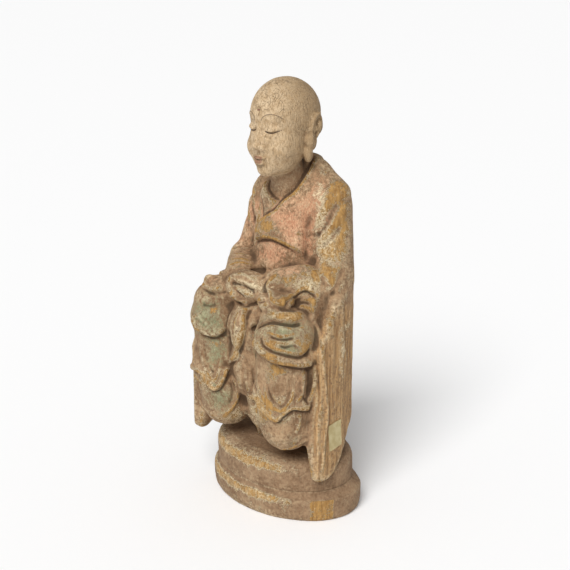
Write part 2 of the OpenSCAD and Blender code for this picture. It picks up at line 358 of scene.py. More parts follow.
def fallMass(forward):
    inner = slab((50, -40, 106), (84, 50, 290))
    pare(inner, (84, 32, 200), (0.5, 1, 0))
    outer = slab((78, -50, 57), (103, 50, 292))
    pare(outer, (84, -50, 200), (-0.4, -1, 0))
    pare(outer, (103, -43, 200), (1, -0.9, 0))
    pare(outer, (101, -4, 200), (1, 0.1, 0))
    pare(outer, (101, -4, 200), (1, 0.42, 0))
    pare(outer, (84, 32, 200), (0.5, 1, 0))
    pare(outer, (84, 32, 118), (0, 1, -0.4))
    pare(outer, (100, -40, 262), (0.75, -0.35, 0.6))
    pare(outer, (88, -45, 230), (0, -1, 0.55))
    if not forward:
        pare(outer, (84, -14, 64), (0, 0.78, -0.62))
        pare(outer, (84, -28, 57), (0, 0.35, -0.94))
        pare(outer, (84, -44, 57), (0, -0.6, -0.8))
        pare(outer, (91, -50, 60), (-1, 0, -0.22))
        return [inner, outer]
    pare(outer, (84, -48, 93), (0, 0.2, -1))
    tail = slab((80, -72, 79), (103, -40, 226))
    pare(tail, (100, -72, 150), (1, -0.7, 0))
    pare(tail, (90, -58, 79), (0, 0.7, -0.8))
    pare(tail, (90, -69, 79), (0, -0.7, -0.7))
    pare(tail, (90, -72, 196), (0, -1, 0.8))
    pare(tail, (86, -60, 79), (-1, 0, -0.3))
    return [inner, outer, tail]


def figureMass():
    trunk = loft(robeSet["trunk"])
    neck = limb((0, 8, 400), 22, (0, -7, 446), 20)
    oneSide = [lump((45, 28, 388), (28, 27, 30))]
    oneSide += limb((50, 27, 388), 26, (65, 17, 325), 24)
    oneSide += limb((65, 17, 325), 24, (70, 12, 300), 25)
    oneSide += limb((68, 12, 300), 23, (78, 6, 250), 20)
    oneSide += limb((70, 0, 300), 25, (34, -44, 297), 21)
    oneSide += limb((44, -5, 246), 34, (57, -58, 240), 36)
    oneSide += [lump((58, -61, 240), (37, 36, 36)), loft(robeSet["skirt"])]
    skirtEnd = lump((54, -52, 128), (34, 34, 36))
    oneSide += [pare(skirtEnd, (54, -52, 95), (0, -0.1, -1)), lump((54, -30, 170), (34, 22, 74))]
    shoulders = limb((22, 33, 427), 11, (57, 29, 401), 18) + limb((-20, 33, 423), 10, (-50, 30, 395), 16)
    hands = lump((-2, -60, 292), (34, 19, 19))
    handTip = lump((-16, -66, 289), (18, 15, 18))
    lap = lump((0, -38, 266), (50, 34, 24))
    belly = lump((0, -13, 306), (38, 23, 26))
    between = [lump((-4, -30, 172), (42, 31, 84)), lump((-6, -46, 196), (28, 32, 66)),
               lump((6, -46, 205), (24, 28, 58)), lump((-3, -60, 240), (27, 25, 34)),
               lump((7, -57, 226), (17, 22, 24)), lump((-6, -40, 291), (34, 18, 12))]
    cuffFold = lump((44, -62, 283), (24, 22, 13))
    farKnee = [lump((-62, -65, 261), (26, 26, 25)), lump((-44, -62, 278), (24, 20, 20))]
    knob = limb((-52, -66, 281), 11, (-64, -72, 290), 6.5)
    rightFall = fallMass(True)
    twins = mirrored(oneSide + rightFall)
    for piece in rightFall:
        bpy.data.objects.remove(piece, do_unlink=True)
    mass = joined("figureMass", [trunk] + neck + shoulders + oneSide + twins + fallMass(False)
                  + [hands, handTip, lap, belly, cuffFold] + between + farKnee + knob)
    reskin(mass, robeSet["firstGrain"], relax=7)
    print("figure massed,", len(mass.data.vertices), "points")
    return mass


figure = figureMass()
# kind, the carver's stand, the line, width, height, how much of each end dies away, fade
robeForms = [
    ("hem", "left", [(33, 444), (27, 430), (21, 418), (8, 399), (-7, 386), (-17, 374), (-31, 365), (-36, 354),
                     (-38, 340)], 1.4, 4.2, (0.05, 0.1), 34),
    ("hem", "left", [(-12, 384), (-21, 392), (-26, 402), (-24, 414)], 1.2, 3.6, (0.1, 0.1), 26),
    ("hem", "left", [(-41, 336), (-30, 339), (-20, 338), (-7, 332), (5, 325), (14, 318), (18, 310)], 1.3, 4.4,
     (0.02, 0.4), 30),
    ("groove", "left", [(24, 386), (23, 357), (22, 332), (19, 305)], 7, 6.4, (0.4, 0.15)),
    ("groove", "left", [(-34, 397), (-35, 370), (-39, 350), (-43, 326)], 5, 5.5, (0.25, 0.2)),
    ("groove", "left", [(66, 396), (54, 372), (40, 350), (27, 335)], 7.5, 4.6, (0.3, 0.2)),
    ("groove", "left", [(68, 360), (52, 340), (33, 325)], 6.5, 4.0, (0.3, 0.25)),
    ("ridge", "left", [(70, 380), (57, 357), (41, 338), (26, 327)], 6.5, 2.6, (0.3, 0.3)),
    ("ridge", "left", [(52, 394), (43, 372), (33, 354), (24, 342)], 6, 2.2, (0.3, 0.3)),
    ("groove", "left", [(20, 313), (34, 304), (42, 290), (46, 270)], 5.5, 3.6, (0.25, 0.2)),
    ("groove", "left", [(48, 262), (57, 270), (64, 286), (70, 308)], 4.5, 3, (0.2, 0.4)),
    ("hem", "left", [(-15, 297), (-25, 285), (-28, 276), (-25, 265), (-23, 256), (-15, 251), (-6, 250)], 1.4, 3,
     (0.2, 0.02), 20),
    ("hem", "left", [(-8, 250), (-5, 255), (5, 263), (14, 270), (22, 272), (30, 267), (37, 258)], 1.2, 3.2,
     (0.05, 0.15), 16),
    ("ridge", "left", [(-46, 226), (-37, 236), (-22, 241), (-6, 238), (10, 237), (20, 243)], 6, 5, (0.2, 0.15)),
    ("groove", "left", [(-50, 212), (-43, 221), (-34, 228), (-22, 231), (-8, 229), (8, 227), (22, 231)], 3.4, 8,
     (0.15, 0.15)),
    ("ridge", "left", [(-38, 206), (-31, 195), (-19, 186), (-5, 180), (14, 177), (27, 181), (33, 194)], 4.5, 3,
     (0.1, 0.1)),
    ("hem", "left", [(-42, 214), (-41, 200), (-33, 189), (-20, 179), (-5, 173), (14, 169), (27, 171), (34, 184)],
     2.0, 6, (0.12, 0.15), 22),
    ("hem", "left", [(-54, 131), (-50, 127), (-40, 124), (-36, 112), (-26, 100), (-15, 93), (-8, 100), (4, 110),
                     (14, 109), (24, 110), (30, 122)], 1.4, 5, (0.05, 0.1), 34),
    ("hem", "left", [(-122, 236), (-118, 224), (-108, 215), (-95, 211), (-84, 216), (-78, 226)], 2.4, 4.4,
     (0.05, 0.25), 24),
    ("hem", "left", [(-124, 172), (-117, 164), (-109, 157), (-104, 146), (-97, 137), (-90, 139), (-82, 152),
                     (-76, 170)], 1.4, 5, (0.02, 0.1), 32),
    ("hem", "left", [(-77, 172), (-66, 181), (-63, 192), (-59, 204), (-55, 223), (-54, 239), (-46, 252)], 1.4,
     3.8, (0.05, 0.1), 22),
    ("hem", "left", [(-112, 279), (-99, 271), (-89, 270), (-78, 273)], 1.8, 3.2, (0.1, 0.2), 16),
    ("groove", "left", [(-50, 297), (-42, 298), (-34, 298), (-27, 297)], 3.6, 4.5, (0.25, 0.25)),
    ("ridge", "left", [(-52, 293), (-43, 290), (-34, 290), (-25, 294)], 2.4, 1.8, (0.25, 0.25)),
    ("groove", "left", [(-52, 190), (-56, 160), (-58, 130), (-56, 104)], 5.5, 3, (0.25, 0.2)),
    ("groove", "left", [(24, 176), (27, 150), (25, 124)], 4, 4, (0.3, 0.2)),
]

robeFolds = [
    ("cut", "left", [(-75, 282), (-68, 280), (-59, 277), (-50, 271.5), (-42, 268)], 4.4, 8, (0.15, 0.15)),
    ("groove", "left", [(-72, 277), (-64, 268), (-55, 261)], 1.9, 3.4, (0.15, 0.2)),
    ("ridge", "left", [(-75, 272), (-69, 263), (-60, 257), (-50, 257)], 2.8, 2.6, (0.15, 0.15)),
    ("ridge", "left", [(-77, 281), (-73, 288), (-66, 291.5), (-57, 291.5), (-47, 287), (-35, 284)], 2.8, 2.8,
     (0.15, 0.3)),
    ("groove", "left", [(-78, 268), (-66, 257), (-56, 252), (-44, 253), (-28, 259)], 2.4, 4.5, (0.1, 0.1)),
    ("ridge", "left", [(-76, 316), (-61, 319), (-46, 315)], 1.6, 1.2),
    ("ridge", "left", [(-77, 310), (-61, 313), (-44, 308)], 1.6, 1.3),
    ("ridge", "left", [(-76, 304), (-60, 308), (-42, 303)], 1.6, 1.3),
    ("ridge", "left", [(-74, 299), (-60, 302), (-44, 300)], 1.5, 1.1),
    ("cut", "left", [(-76, 320), (-66, 325), (-58, 331)], 1.8, 3),
    ("ridge", "left", [(-2, 253), (4, 258), (12, 264), (22, 266), (31, 259), (34, 250)], 1.8, 1.8),
    ("cut", "left", [(0, 249), (8, 251), (18, 255), (28, 252)], 2.2, 2, (0.2, 0.2)),
    ("ridge", "left", [(12, 250), (24, 248), (31, 242)], 3, 2.5),
    ("groove", "left", [(-28, 213), (-18, 207), (-6, 205), (10, 209)], 2.2, 3),
    ("ridge", "left", [(-30, 217), (-18, 212), (-5, 210), (12, 214)], 2.8, 1.8),
    ("groove", "left", [(-36, 212), (-36, 205), (-32, 197), (-22, 190), (-12, 186), (0, 183), (14, 181),
                        (24, 187), (28, 200)], 2.2, 3.6, (0.1, 0.15)),
    ("ridge", "left", [(-30, 203), (-21, 195), (-11, 191), (0, 188), (12, 187), (20, 192)], 2.4, 2, (0.2, 0.2)),
    ("cut", "left", [(-14, 198), (-5, 195), (6, 197), (12, 193)], 2, 2.4),
    ("ridge", "left", [(-54, 178), (-55, 155), (-52, 133)], 2.8, 2.2, (0.3, 0.1)),
    ("groove", "left", [(-46, 176), (-47, 155), (-42, 132)], 2.4, 2, (0.3, 0.1)),
    ("ridge", "left", [(-39, 170), (-40, 148), (-34, 128), (-24, 110)], 2.2, 1.8, (0.3, 0.1)),
    ("ridge", "left", [(-31, 149), (-30, 132), (-23, 115), (-11, 107), (-2, 115), (4, 126), (7, 148)], 2.2, 1.7),
    ("groove", "left", [(-27, 150), (-26, 134), (-19, 120), (-10, 113), (-3, 120), (1, 132), (2, 150)], 2.0, 1.5),
    ("ridge", "left", [(19, 168), (18, 150), (16, 131), (9, 118)], 2.2, 3.4, (0.3, 0.1)),
    ("ridge", "left", [(33, 172), (34, 152), (31, 134), (24, 118)], 2.4, 3.6, (0.3, 0.1)),
    ("ridge", "left", [(-42, 90), (-38, 76), (-29, 63), (-17, 54), (-1, 54), (15, 61), (26, 70)], 2, 1.6,
     (0.1, 0.1)),
    ("ridge", "left", [(13, 106), (14, 90), (8, 74)], 2.4, 2.2),
    ("cut", "left", [(-122, 236), (-113, 230), (-104, 222)], 1.6, 2.2),
    ("groove", "left", [(-112, 254), (-100, 251), (-90, 254)], 3, 2),
    ("ridge", "left", [(-62, 246), (-67, 232), (-70, 214)], 1.8, 2),
    ("ridge", "left", [(-71, 246), (-76, 230), (-77, 208)], 1.8, 1.6),
    ("groove", "left", [(-66, 240), (-71, 226), (-72, 200)], 2.0, 2),
    ("ridge", "left", [(-113, 204), (-112, 184), (-104, 160), (-97, 150), (-90, 162), (-86, 186)], 2, 1.6),
    ("groove", "left", [(-108, 200), (-107, 184), (-101, 168), (-97, 162), (-93, 170)], 1.8, 1.4),
    ("ridge", "left", [(-74, 158), (-67, 144), (-67, 126), (-75, 110), (-86, 99)], 2.4, 3, (0.15, 0.2)),
    ("groove", "left", [(-80, 152), (-74, 140), (-74, 126), (-80, 114)], 2.0, 1.6),
    ("ridge", "left", [(-117, 124), (-110, 112), (-98, 101), (-84, 94)], 2, 1.4),
    ("ridge", "left", [(-122, 206), (-122, 190), (-121, 172)], 1.8, 1.6),
    ("cut", "left", [(-124, 132), (-118, 120), (-110, 108)], 1.8, 2.6, (0.1, 0.1)),
    ("ridge", "left", [(28, 238), (37, 219), (42, 197), (45, 164), (48, 131), (50, 99), (47, 66), (45, 33),
                       (42, 10)], 2.2, 1.8, (0.05, 0.1)),
    ("groove", "left", [(33, 190), (37, 160), (40, 120), (36, 99), (34, 60), (35, 30)], 2, 2.2, (0.2, 0.2)),
    ("groove", "left", [(58, 238), (61, 190), (61, 140)], 3.5, 0.9, (0.3, 0.3)),
    ("groove", "left", [(70, 268), (73, 210), (71, 150)], 3.0, 1.4, (0.2, 0.3)),
]

sleeveSides = otherSide([s for s in robeForms if s[2][0][0] > 40 or s[2][-1][0] > 40] + [
    ("groove", "left", [(24, 384), (23, 357), (22, 332), (19, 307)], 3.5, 4, (0.25, 0.2)),
    ("groove", "left", [(20, 313), (34, 304), (41, 288), (43, 267)], 3, 5, (0.2, 0.1)),
]) + otherSide([s for s in robeFolds if min(a for a, z in s[2]) > 27])

backForms = [
    ("groove", (180, 0.3), [(36, 372), (44, 300), (40, 220), (36, 130)], 5, 3, (0.2, 0.1)),
    ("groove", (180, 0.3), [(-36, 372), (-44, 300), (-40, 220), (-36, 130)], 5, 3, (0.2, 0.1)),
    ("groove", (180, 0.3), [(12, 330), (15, 270), (12, 120)], 6, 1.4, (0.3, 0.1)),
    ("groove", (180, 0.3), [(-14, 340), (-15, 270), (-13, 120)], 6, 1.4, (0.3, 0.1)),
    ("hem", (180, 0.3), [(60, 352), (20, 366), (-24, 384), (-48, 404)], 1.6, 2.6, (0.1, 0.1), 30),
    ("groove", (180, 0.3), [(48, 330), (10, 346), (-30, 372)], 3.5, 2.2, (0.2, 0.2)),
    ("ridge", (180, 0.3), [(-26, 424), (0, 430), (26, 424)], 3, 2.5, (0.1, 0.1)),
    ("groove", (180, 0.3), [(-32, 415), (0, 420), (32, 415)], 3, 2, (0.1, 0.1)),
    ("hem", (180, 0.3), [(-52, 112), (-20, 103), (20, 103), (52, 112)], 1.3, 3, (0.05, 0.05), 30),
    ("groove", (90, 0.3), [(28, 290), (33, 230), (30, 160)], 4, 2.2, (0.2, 0.3)),
    ("groove", (-90, 0.3), [(-28, 290), (-33, 230), (-30, 160)], 4, 2.2, (0.2, 0.3)),
    ("groove", (90, 0.3), [(6, 250), (10, 200), (4, 150)], 4, 1.2, (0.3, 0.3)),
    ("groove", (-90, 0.3), [(-6, 250), (-10, 200), (-4, 150)], 4, 1.2, (0.3, 0.3)),
    ("ridge", (0, 0.3), [(-30, 440), (0, 425), (30, 440)], 3, 1.2, (0.2, 0.2)),
]

reskin(figure, robeSet["carveGrain"], relax=1)
carve(figure, robeForms + backForms)
reskin(figure, robeSet["foldGrain"], relax=2)
carve(figure, robeFolds + sleeveSides)
reskin(figure, robeSet["lastGrain"], relax=robeSet["soften"])
print("folds carved,", len(figure.data.vertices), "points")


def roughen(piece, size, depth, seed):         # soft unevenness left by the chisel and by handling
    points, normals = readPoints(piece), readNormals(piece)
    random = np.random.default_rng(seed)
    total = np.zeros(len(points))
    for octave in range(3):
        waves = random.normal(size=(14, 3)) / (size * mm / 2 ** octave)
        phases = random.uniform(0, 6.283, 14)
        total += np.sin(points @ waves.T + phases).sum(axis=1) / 14 ** 0.5 / 1.6 ** octave
    writePoints(piece, points + normals * (total * depth * mm)[:, None])


roughen(figure, 9, 0.14, 5)

headSet = {
    "grain": 0.8,
}


def headMass():
    whole = [lump((0, -1, 495), (39, 46, 44)), lump((0, -12, 466), (35.5, 35, 40)),
             lump((0, -17, 448), (31, 27, 26)), lump((0, -29, 445), (15, 17, 14)),
             lump((0, -33, 433), (13, 11, 10.5))]
    cheeks = [lump((15, -24, 458), (19, 20, 20)), lump((13, -36.5, 492), (13, 7, 5), turn=(0, 0, 24))]
    base = joined("headMass", whole + cheeks + mirrored(cheeks))
    reskin(base, 2, relax=9)
    features = limb((0, -42.5, 488), 3.8, (0, -48, 465), 4.6)
    features += [lump((0, -49, 462), (5.8, 6, 4.8)), lump((0, -45.4, 447), (9.4, 3.8, 2.7)),
                 lump((0, -45, 441.6), (7.6, 4.2, 3.1))]
    oneSide = [lump((15, -37, 482), (10.6, 6.2, 6.4), turn=(0, 0, 22)), lump((6.2, -45, 460), (4.2, 5, 3.6)),
               lump((38.5, 9, 484), (4.5, 13, 16), turn=(0, 0, -14)), lump((37.4, 5, 467), (4.4, 8.5, 14)),
               lump((35.8, 1.5, 451), (5, 6.2, 11))]
    mass = joined("headMass", [base] + features + oneSide + mirrored(oneSide))
    reskin(mass, headSet["grain"] * 1.25, relax=5)
    return mass


faceStrokes = [                # drawn from straight in front
    ("groove", (0, 0.48), [(6.5, 487.5), (14, 489.4), (27, 486)], 2.6, 1.0, (0.2, 0.3)),
    ("groove", (0, 0.48), [(6.4, 485), (6.6, 479), (8.5, 473)], 2.4, 1.2, (0.3, 0.3)),
    ("groove", (0, 0.48), [(7, 480.4), (11, 478.4), (16, 477.8), (21, 478.8), (27, 482)], 0.9, 2.2,
     (0.12, 0.15)),
    ("ridge", (0, 0.48), [(8, 482.6), (12, 480.8), (16, 480.2), (20, 481), (25, 483.6)], 1.0, 0.8, (0.2, 0.2)),
    ("ridge", (0, 0.48), [(9, 475.6), (15, 474.6), (22, 476.6)], 1.2, 0.5, (0.3, 0.3)),
    ("groove", (0, 0.48), [(9, 472.4), (15, 470.8), (22, 473)], 1.8, 0.6, (0.3, 0.3)),
    ("ridge", (0, 0.48), [(4.6, 489), (6.5, 494), (11, 498), (18, 499.6), (25, 497.6), (31, 492)], 1.5, 0.8,
     (0.15, 0.2)),
    ("groove", (0, 0.48), [(8, 465), (11, 461.6), (10.6, 457.6)], 1.1, 1.6, (0.2, 0.2)),
    ("groove", (0, 0.48), [(2.2, 457), (4.4, 456.8)], 1.1, 2.2, (0.1, 0.1)),
    ("groove", (0, 0.48), [(12, 456.6), (15.4, 451.6), (16.4, 446)], 2.4, 0.6, (0.3, 0.3)),
    ("groove", (0, 0.48), [(9, 445), (12, 445)], 1.3, 1.4, (0.2, 0.3)),
]
faceMiddle = [
    ("groove", (0, 0.48), [(-10, 444.9), (-4.5, 444.3), (-1.6, 443.6), (0, 444.1), (1.6, 443.6), (4.5, 444.3),
                           (10, 444.9)], 0.8, 2.6, (0.08, 0.08)),
    ("groove", (0, 0.48), [(0, 456), (0, 453.4), (0, 450.4)], 1.2, 1.1, (0.25, 0.25)),
    ("groove", (0, 0.48), [(-7, 437), (0, 436), (7, 437)], 1.5, 1.4, (0.2, 0.2)),
]
earStrokes = [                 # seen from the figure's left, along +Y
    ("ridge", (90, 0.48), [(-1, 472), (-3, 482), (1, 493), (8, 498), (16, 496), (20, 487), (17, 474), (11, 463),
                           (7, 452)], 1.7, 2.4, (0.08, 0.15)),
    ("groove", (90, 0.48), [(4, 480), (6, 489), (11, 492), (15.5, 486), (13, 475), (8.5, 466)], 2.2, 3.6,
     (0.15, 0.15)),
    ("groove", (90, 0.48), [(3, 478), (4.5, 471), (6, 464)], 2.0, 2.6, (0.2, 0.2)),
    ("ridge", (90, 0.48), [(-2.5, 474), (-2.5, 466), (-1.5, 458)], 1.5, 1.0, (0.2, 0.2)),
    ("groove", (90, 0.48), [(2.4, 458), (1.8, 451), (1.2, 445)], 1.4, 0.9, (0.3, 0.2)),
]


def makeHead():
    mass = headMass()
    carve(mass, faceMiddle + faceStrokes + otherSide(faceStrokes) + earStrokes + otherSide(earStrokes))
    reskin(mass, headSet["grain"], relax=1)
    roughen(mass, 7, 0.05, 8)
    return mass


head = makeHead()
print("head carved,", len(head.data.vertices), "points")


def spread(values, edges, rounds):             # evens values out between neighbours
    count = np.bincount(edges.ravel(), minlength=len(values)) + 1
    start, end = edges[:, 0], edges[:, 1]
    for _ in range(rounds):
        total = values.copy()
        for column in range(values.shape[1]):
            total[:, column] += np.bincount(start, values[end, column], len(values))
            total[:, column] += np.bincount(end, values[start, column], len(values))
        values = total / count[:, None]
    return values


def readEdges(piece):
    edges = np.empty(len(piece.data.edges) * 2, dtype=np.int32)
    piece.data.edges.foreach_get("vertices", edges)
    return edges.reshape(-1, 2)


def rubAndHollow(piece, fineRounds, broadRounds, fineSize, broadSize):
    points, normals, edges = readPoints(piece).astype(float), readNormals(piece), readEdges(piece)
    near = spread(points, edges, fineRounds)
    wide = spread(near, edges, broadRounds)
    fine = ((points - near) * normals).sum(axis=1) / (fineSize * mm)
    broad = ((points - wide) * normals).sum(axis=1) / (broadSize * mm)
    rub = spread((0.5 * fine + 0.6 * broad)[:, None], edges, 1)[:, 0]
    return np.clip(rub, 0, 1), np.clip(-rub, 0, 1)


def planeOf(points, view):
    eye, right = eyeAndPlane(view)
    level = Vector((-right.y, right.x, 0))
    eye, right, level = np.array(eye), np.array(right), np.array(level)
    axis = np.array((0, axisY, 0))
    ray = points - eye
    spot = eye + ray * (((axis - eye) @ level) / (ray @ level))[:, None]
    toEye = -ray / np.linalg.norm(ray, axis=1)[:, None]
    return ((spot - axis) @ right) / mm, spot[:, 2] / mm, toEye


def spotted(points, normals, view, spots):     # spots: across, up, half widths, strength
    across, up, toEye = planeOf(points, view)
    total = np.zeros(len(points))
    for a, z, ra, rz, strength in spots:
        total += strength * np.exp(-((across - a) / ra) ** 2 - ((up - z) / rz) ** 2)
    facing = smoothStep(-0.1, 0.25, (normals * toEye).sum(axis=1))
    return np.clip(total, 0, 1), facing


def bothSides(points, normals, spots):
    left, leftFacing = spotted(points, normals, "left", spots)
    right, rightFacing = spotted(points, normals, "right", [(-a, z, ra, rz, s) for a, z, ra, rz, s in spots])
    return left * leftFacing + right * rightFacing * (1 - leftFacing)


paintSet = {                   # where each colour shows, on the drawing plane seen from the left
    "ochre": [(55, 388, 17, 30, 1), (64, 343, 10, 36, 0.9), (46, 318, 14, 34, 1), (39, 290, 16, 13, 0.8),
              (-28, 355, 11, 19, 0.9), (-42, 390, 6, 18, 0.5), (8, 284, 20, 13, 0.8), (-6, 239, 23, 9, 0.9),
              (14, 256, 20, 11, 0.8), (-22, 200, 11, 11, 0.9), (20, 198, 10, 15, 0.9), (-17, 162, 15, 12, 0.8),
              (-35, 111, 11, 24, 1), (-22, 112, 14, 11, 0.8), (-95, 248, 6, 12, 0.9), (-94, 201, 10, 7, 0.8),
              (-67, 198, 11, 25, 0.6),
              (-104, 151, 18, 11, 0.8), (-76, 106, 18, 14, 0.8), (2, 59, 26, 12, 0.4), (-8, 120, 16, 13, 0.4),
              (-61, 309, 15, 8, 0.4), (-113, 279, 8, 5, 0.3)],
    "red": [(-5, 362, 32, 38, 0.75), (-21, 318, 25, 18, 0.75), (-48, 373, 15, 33, 0.7), (-91, 285, 15, 11, 0.4),
            (38, 384, 22, 40, 0.6), (28, 320, 14, 24, 0.4), (1, 296, 20, 10, 0.5), (14, 343, 15, 28, 0.5),
            (-63, 331, 12, 15, 0.5),
            (14, 151, 18, 28, 0.25)],
    "green": [(-102, 239, 25, 30, 1), (-93, 189, 18, 27, 0.8), (-5, 219, 36, 12, 0.9), (4, 192, 28, 12, 0.7),
              (-86, 125, 18, 20, 0.5), (-5, 109, 26, 20, 0.25), (-41, 198, 8, 27, 0.4), (-95, 130, 21, 22, 0.5)],
    "fleck": [(38, 388, 10, 33, 1), (48, 331, 22, 34, 1), (29, 279, 30, 13, 0.8), (-5, 239, 25, 9, 0.9),
              (-11, 198, 32, 16, 0.5), (1, 130, 34, 28, 0.4), (-50, 276, 30, 14, 0.8), (-33, 394, 10, 20, 0.6),
              (-67, 205, 10, 35, 0.8), (-101, 157, 21, 17, 0.7), (-41, 109, 8, 28, 0.7),
              (-63, 102, 23, 17, 0.7), (-55, 292, 17, 10, 0.4), (8, 87, 21, 23, 0.4), (70, 200, 8, 62, 0.75),
              (60, 110, 6, 44, 0.5)],
    "hemPaint": [(-20, 115, 60, 42, 1), (-102, 148, 30, 34, 1), (-62, 212, 14, 44, 1), (14, 264, 26, 12, 0.9),
                 (-24, 332, 26, 9, 0.6), (6, 400, 28, 44, 0.25), (-22, 270, 14, 26, 0.5)],
}


def alongHems(points, normals, view, flip):    # 1 on a hem's edge, dying away on both sides
    across, up, toEye = planeOf(points, view)
    nearest = np.full(len(points), 1e3)
    for stroke in robeForms:
        if stroke[0] != "hem" or stroke[1] != "left":
            continue
        spots = np.array([(a * flip, z) for a, z in stroke[2]], dtype=float)
        for start, end in zip(spots[:-1], spots[1:]):
            run = end - start
            share = np.clip(((across - start[0]) * run[0] + (up - start[1]) * run[1]) / (run @ run), 0, 1)
            gap = np.hypot(across - start[0] - share * run[0], up - start[1] - share * run[1])
            nearest = np.minimum(nearest, gap)
    facing = smoothStep(-0.1, 0.25, (normals * toEye).sum(axis=1))
    return np.exp(-(nearest / 3.0) ** 2), facing


def robeMarks():
    points, normals = readPoints(figure).astype(float), readNormals(figure)
    rounds = ((4, 34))
    marks = {name: bothSides(points, normals, spots) for name, spots in paintSet.items()}
    # hollow: how deep each point lies in a crease; the paint darkens it as painted shade and dirt
    marks["rub"], marks["hollow"] = rubAndHollow(figure, *rounds, 0.22, 1.1)
    hemNear, nearFacing = alongHems(points, normals, "left", 1)
    hemFar, farFacing = alongHems(points, normals, "right", -1)
    hems = (hemNear * nearFacing + hemFar * farFacing * (1 - nearFacing)) * marks.pop("hemPaint")
    marks["ochre"] = np.clip(marks["ochre"] * 0.85 + hems * 0.8, 0, 1)
    marks["fleck"] = np.clip(marks["fleck"] + hems * 0.9, 0, 1)
    x, y, z = np.abs(points[:, 0]) / mm, points[:, 1] / mm, points[:, 2] / mm
    side = smoothStep(90, 98, x + 0.16 * (y + 40)) * (1 - smoothStep(262, 284, z))
    marks["grainy"] = np.maximum(side, smoothStep(30, 44, y) * 0.6 * (1 - smoothStep(300, 360, z)))
    neckY = 8 - (z - 400) * 15 / 46
    fromNeck = np.hypot(points[:, 0] / mm, y - neckY)
    # skin: the neck, painted as skin ground in a darker tone that paints in the shade under the chin
    marks["skin"] = (1 - smoothStep(25, 27.5, fromNeck)) * smoothStep(404, 409, z)
    return points, marks


figureSpots, figureMarks = robeMarks()
print("paint laid out")


def giveMarks(piece, marks):
    for name, values in marks.items():
        layer = piece.data.attributes.new(name, "FLOAT", "POINT")
        layer.data.foreach_set("value", np.asarray(values, dtype=np.float32))


figureTree = KDTree(len(figureSpots))
for number, spot in enumerate(figureSpots):
    figureTree.insert(spot, number)
figureTree.balance()


def takeMarks(piece):
    nearest = np.array([figureTree.find(p)[1] for p in readPoints(piece)])
    giveMarks(piece, {name: values[nearest] for name, values in figureMarks.items()})


def cutWith(piece, tool, way):
    finishWith(piece, "BOOLEAN", operation=way, object=tool, solver="MANIFOLD")
    bpy.data.objects.remove(tool, do_unlink=True)


def withoutCrumbs(piece, fewest=400):
    only(piece)
    bpy.ops.object.mode_set(mode="EDIT")
    bpy.ops.mesh.select_all(action="SELECT")
    bpy.ops.mesh.separate(type="LOOSE")
    bpy.ops.object.mode_set(mode="OBJECT")
    parts = sorted(bpy.context.selected_objects, key=lambda part: -len(part.data.vertices))
    for part in parts[1:]:
        if len(part.data.vertices) < fewest:
            bpy.data.objects.remove(part, do_unlink=True)
    parts = [part for part in bpy.context.selected_objects]
    return joined("block", parts) if len(parts) > 1 else parts[0]


def finished(piece, name, body="figure", crease=50):
    piece.name = name
    piece.data.name = name
    only(piece)
    bpy.ops.object.shade_smooth_by_angle(angle=math.radians(crease))
    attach(piece, body)
    return piece


blockSet = {
    "seam": 0.08,              # half the hairline between two blocks
    "trunk": [((-56, -30, 78), (56, 95, 448)), ((-56, -200, 322), (56, 95, 448))],
    "left_arm": [((56, -200, 275), (150, 95, 600)), ((36, -200, 275), (70, -30, 322))],
    "joined_cuffs": [((-36, -200, 275), (36, -30, 322))],
    "left_leg": [((0, -200, 78), (84, -30, 275))],
    "left_robe_fall": [((84, -200, 40), (150, 95, 275)), ((56, -30, 40), (100, 95, 275))],
    "cover": ((-22.6, 49.1, 159.4), (22.6, 95, 250.6)),
    "recess": ((-23, 49, 159), (23, 95, 251)),
    "cavity": ((-18, 11, 164), (18, 50, 246)),
}


def regionOf(boxes, flip=False):
    seam = blockSet["seam"]
    whole = None
    for low, high in boxes:
        if flip:
            low, high = (-high[0], low[1], low[2]), (-low[0], high[1], high[2])
        box = slab([v + seam for v in low], [v - seam for v in high])
        if whole is None:
            whole = box
        else:
            cutWith(whole, box, "UNION")
    return whole


def blockFrom(node, flip=False, takeAway=()):
    piece = figure.copy()
    piece.data = figure.data.copy()
    bpy.context.scene.collection.objects.link(piece)
    cutWith(piece, regionOf(blockSet[node.replace("right", "left")], flip), "INTERSECT")
    for tool in takeAway:
        cutWith(piece, tool, "DIFFERENCE")
    piece = withoutCrumbs(piece)
    takeMarks(piece)
    finished(piece, node + "_carved")
    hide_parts(node)
    return piece


def tenonTool(play=0.0):
    bpy.ops.mesh.primitive_cylinder_add(vertices=48, radius=(12 + play) * mm, depth=44 * mm,
                                        location=(0, -6 * mm, 436 * mm))
    return bpy.context.object


plinthSet = {
    "lower": [                 # z, x, y, half width, half depth
        (0, 0, 0, 107.6, 74.6), (3, 0, 0, 109.6, 76.6), (9, 0, 0, 110.8, 77.8), (25, 0, 0, 111, 78),
        (28.6, 0, 0, 110.2, 77.3), (31, 0, -0.4, 107.4, 75), (35, 0, -2, 102.6, 71.4), (39.8, 0, -4, 99.5, 70),
    ],
    "upper": [
        (34, 0, -4, 100.2, 70.8), (46, 0, -4, 101, 71.5), (64, 0, -4, 101, 71.5), (69.5, 0, -4, 99.4, 70),
        (73.5, 0, -4, 96, 66.8), (76.4, 0, -4, 91.5, 62.5), (78, 0, -4, 85, 56),
    ],
    "grain": 1.4,
    "bareEdge": {"lower": 26, "upper": 67},    # middle of each tier's rubbed band
    "back": ((91, 43, 40), (0.42, 0.9, 0)),    # the block is trimmed flatter behind
    "stepIn": {"lower": (0, 0), "upper": (6, 4)},      # how far that trimming moves in on each tier
}


def upperTierTool():
    return loft([(z, x, y, w + 0.4, d + 0.4) for z, x, y, w, d in plinthSet["upper"]])


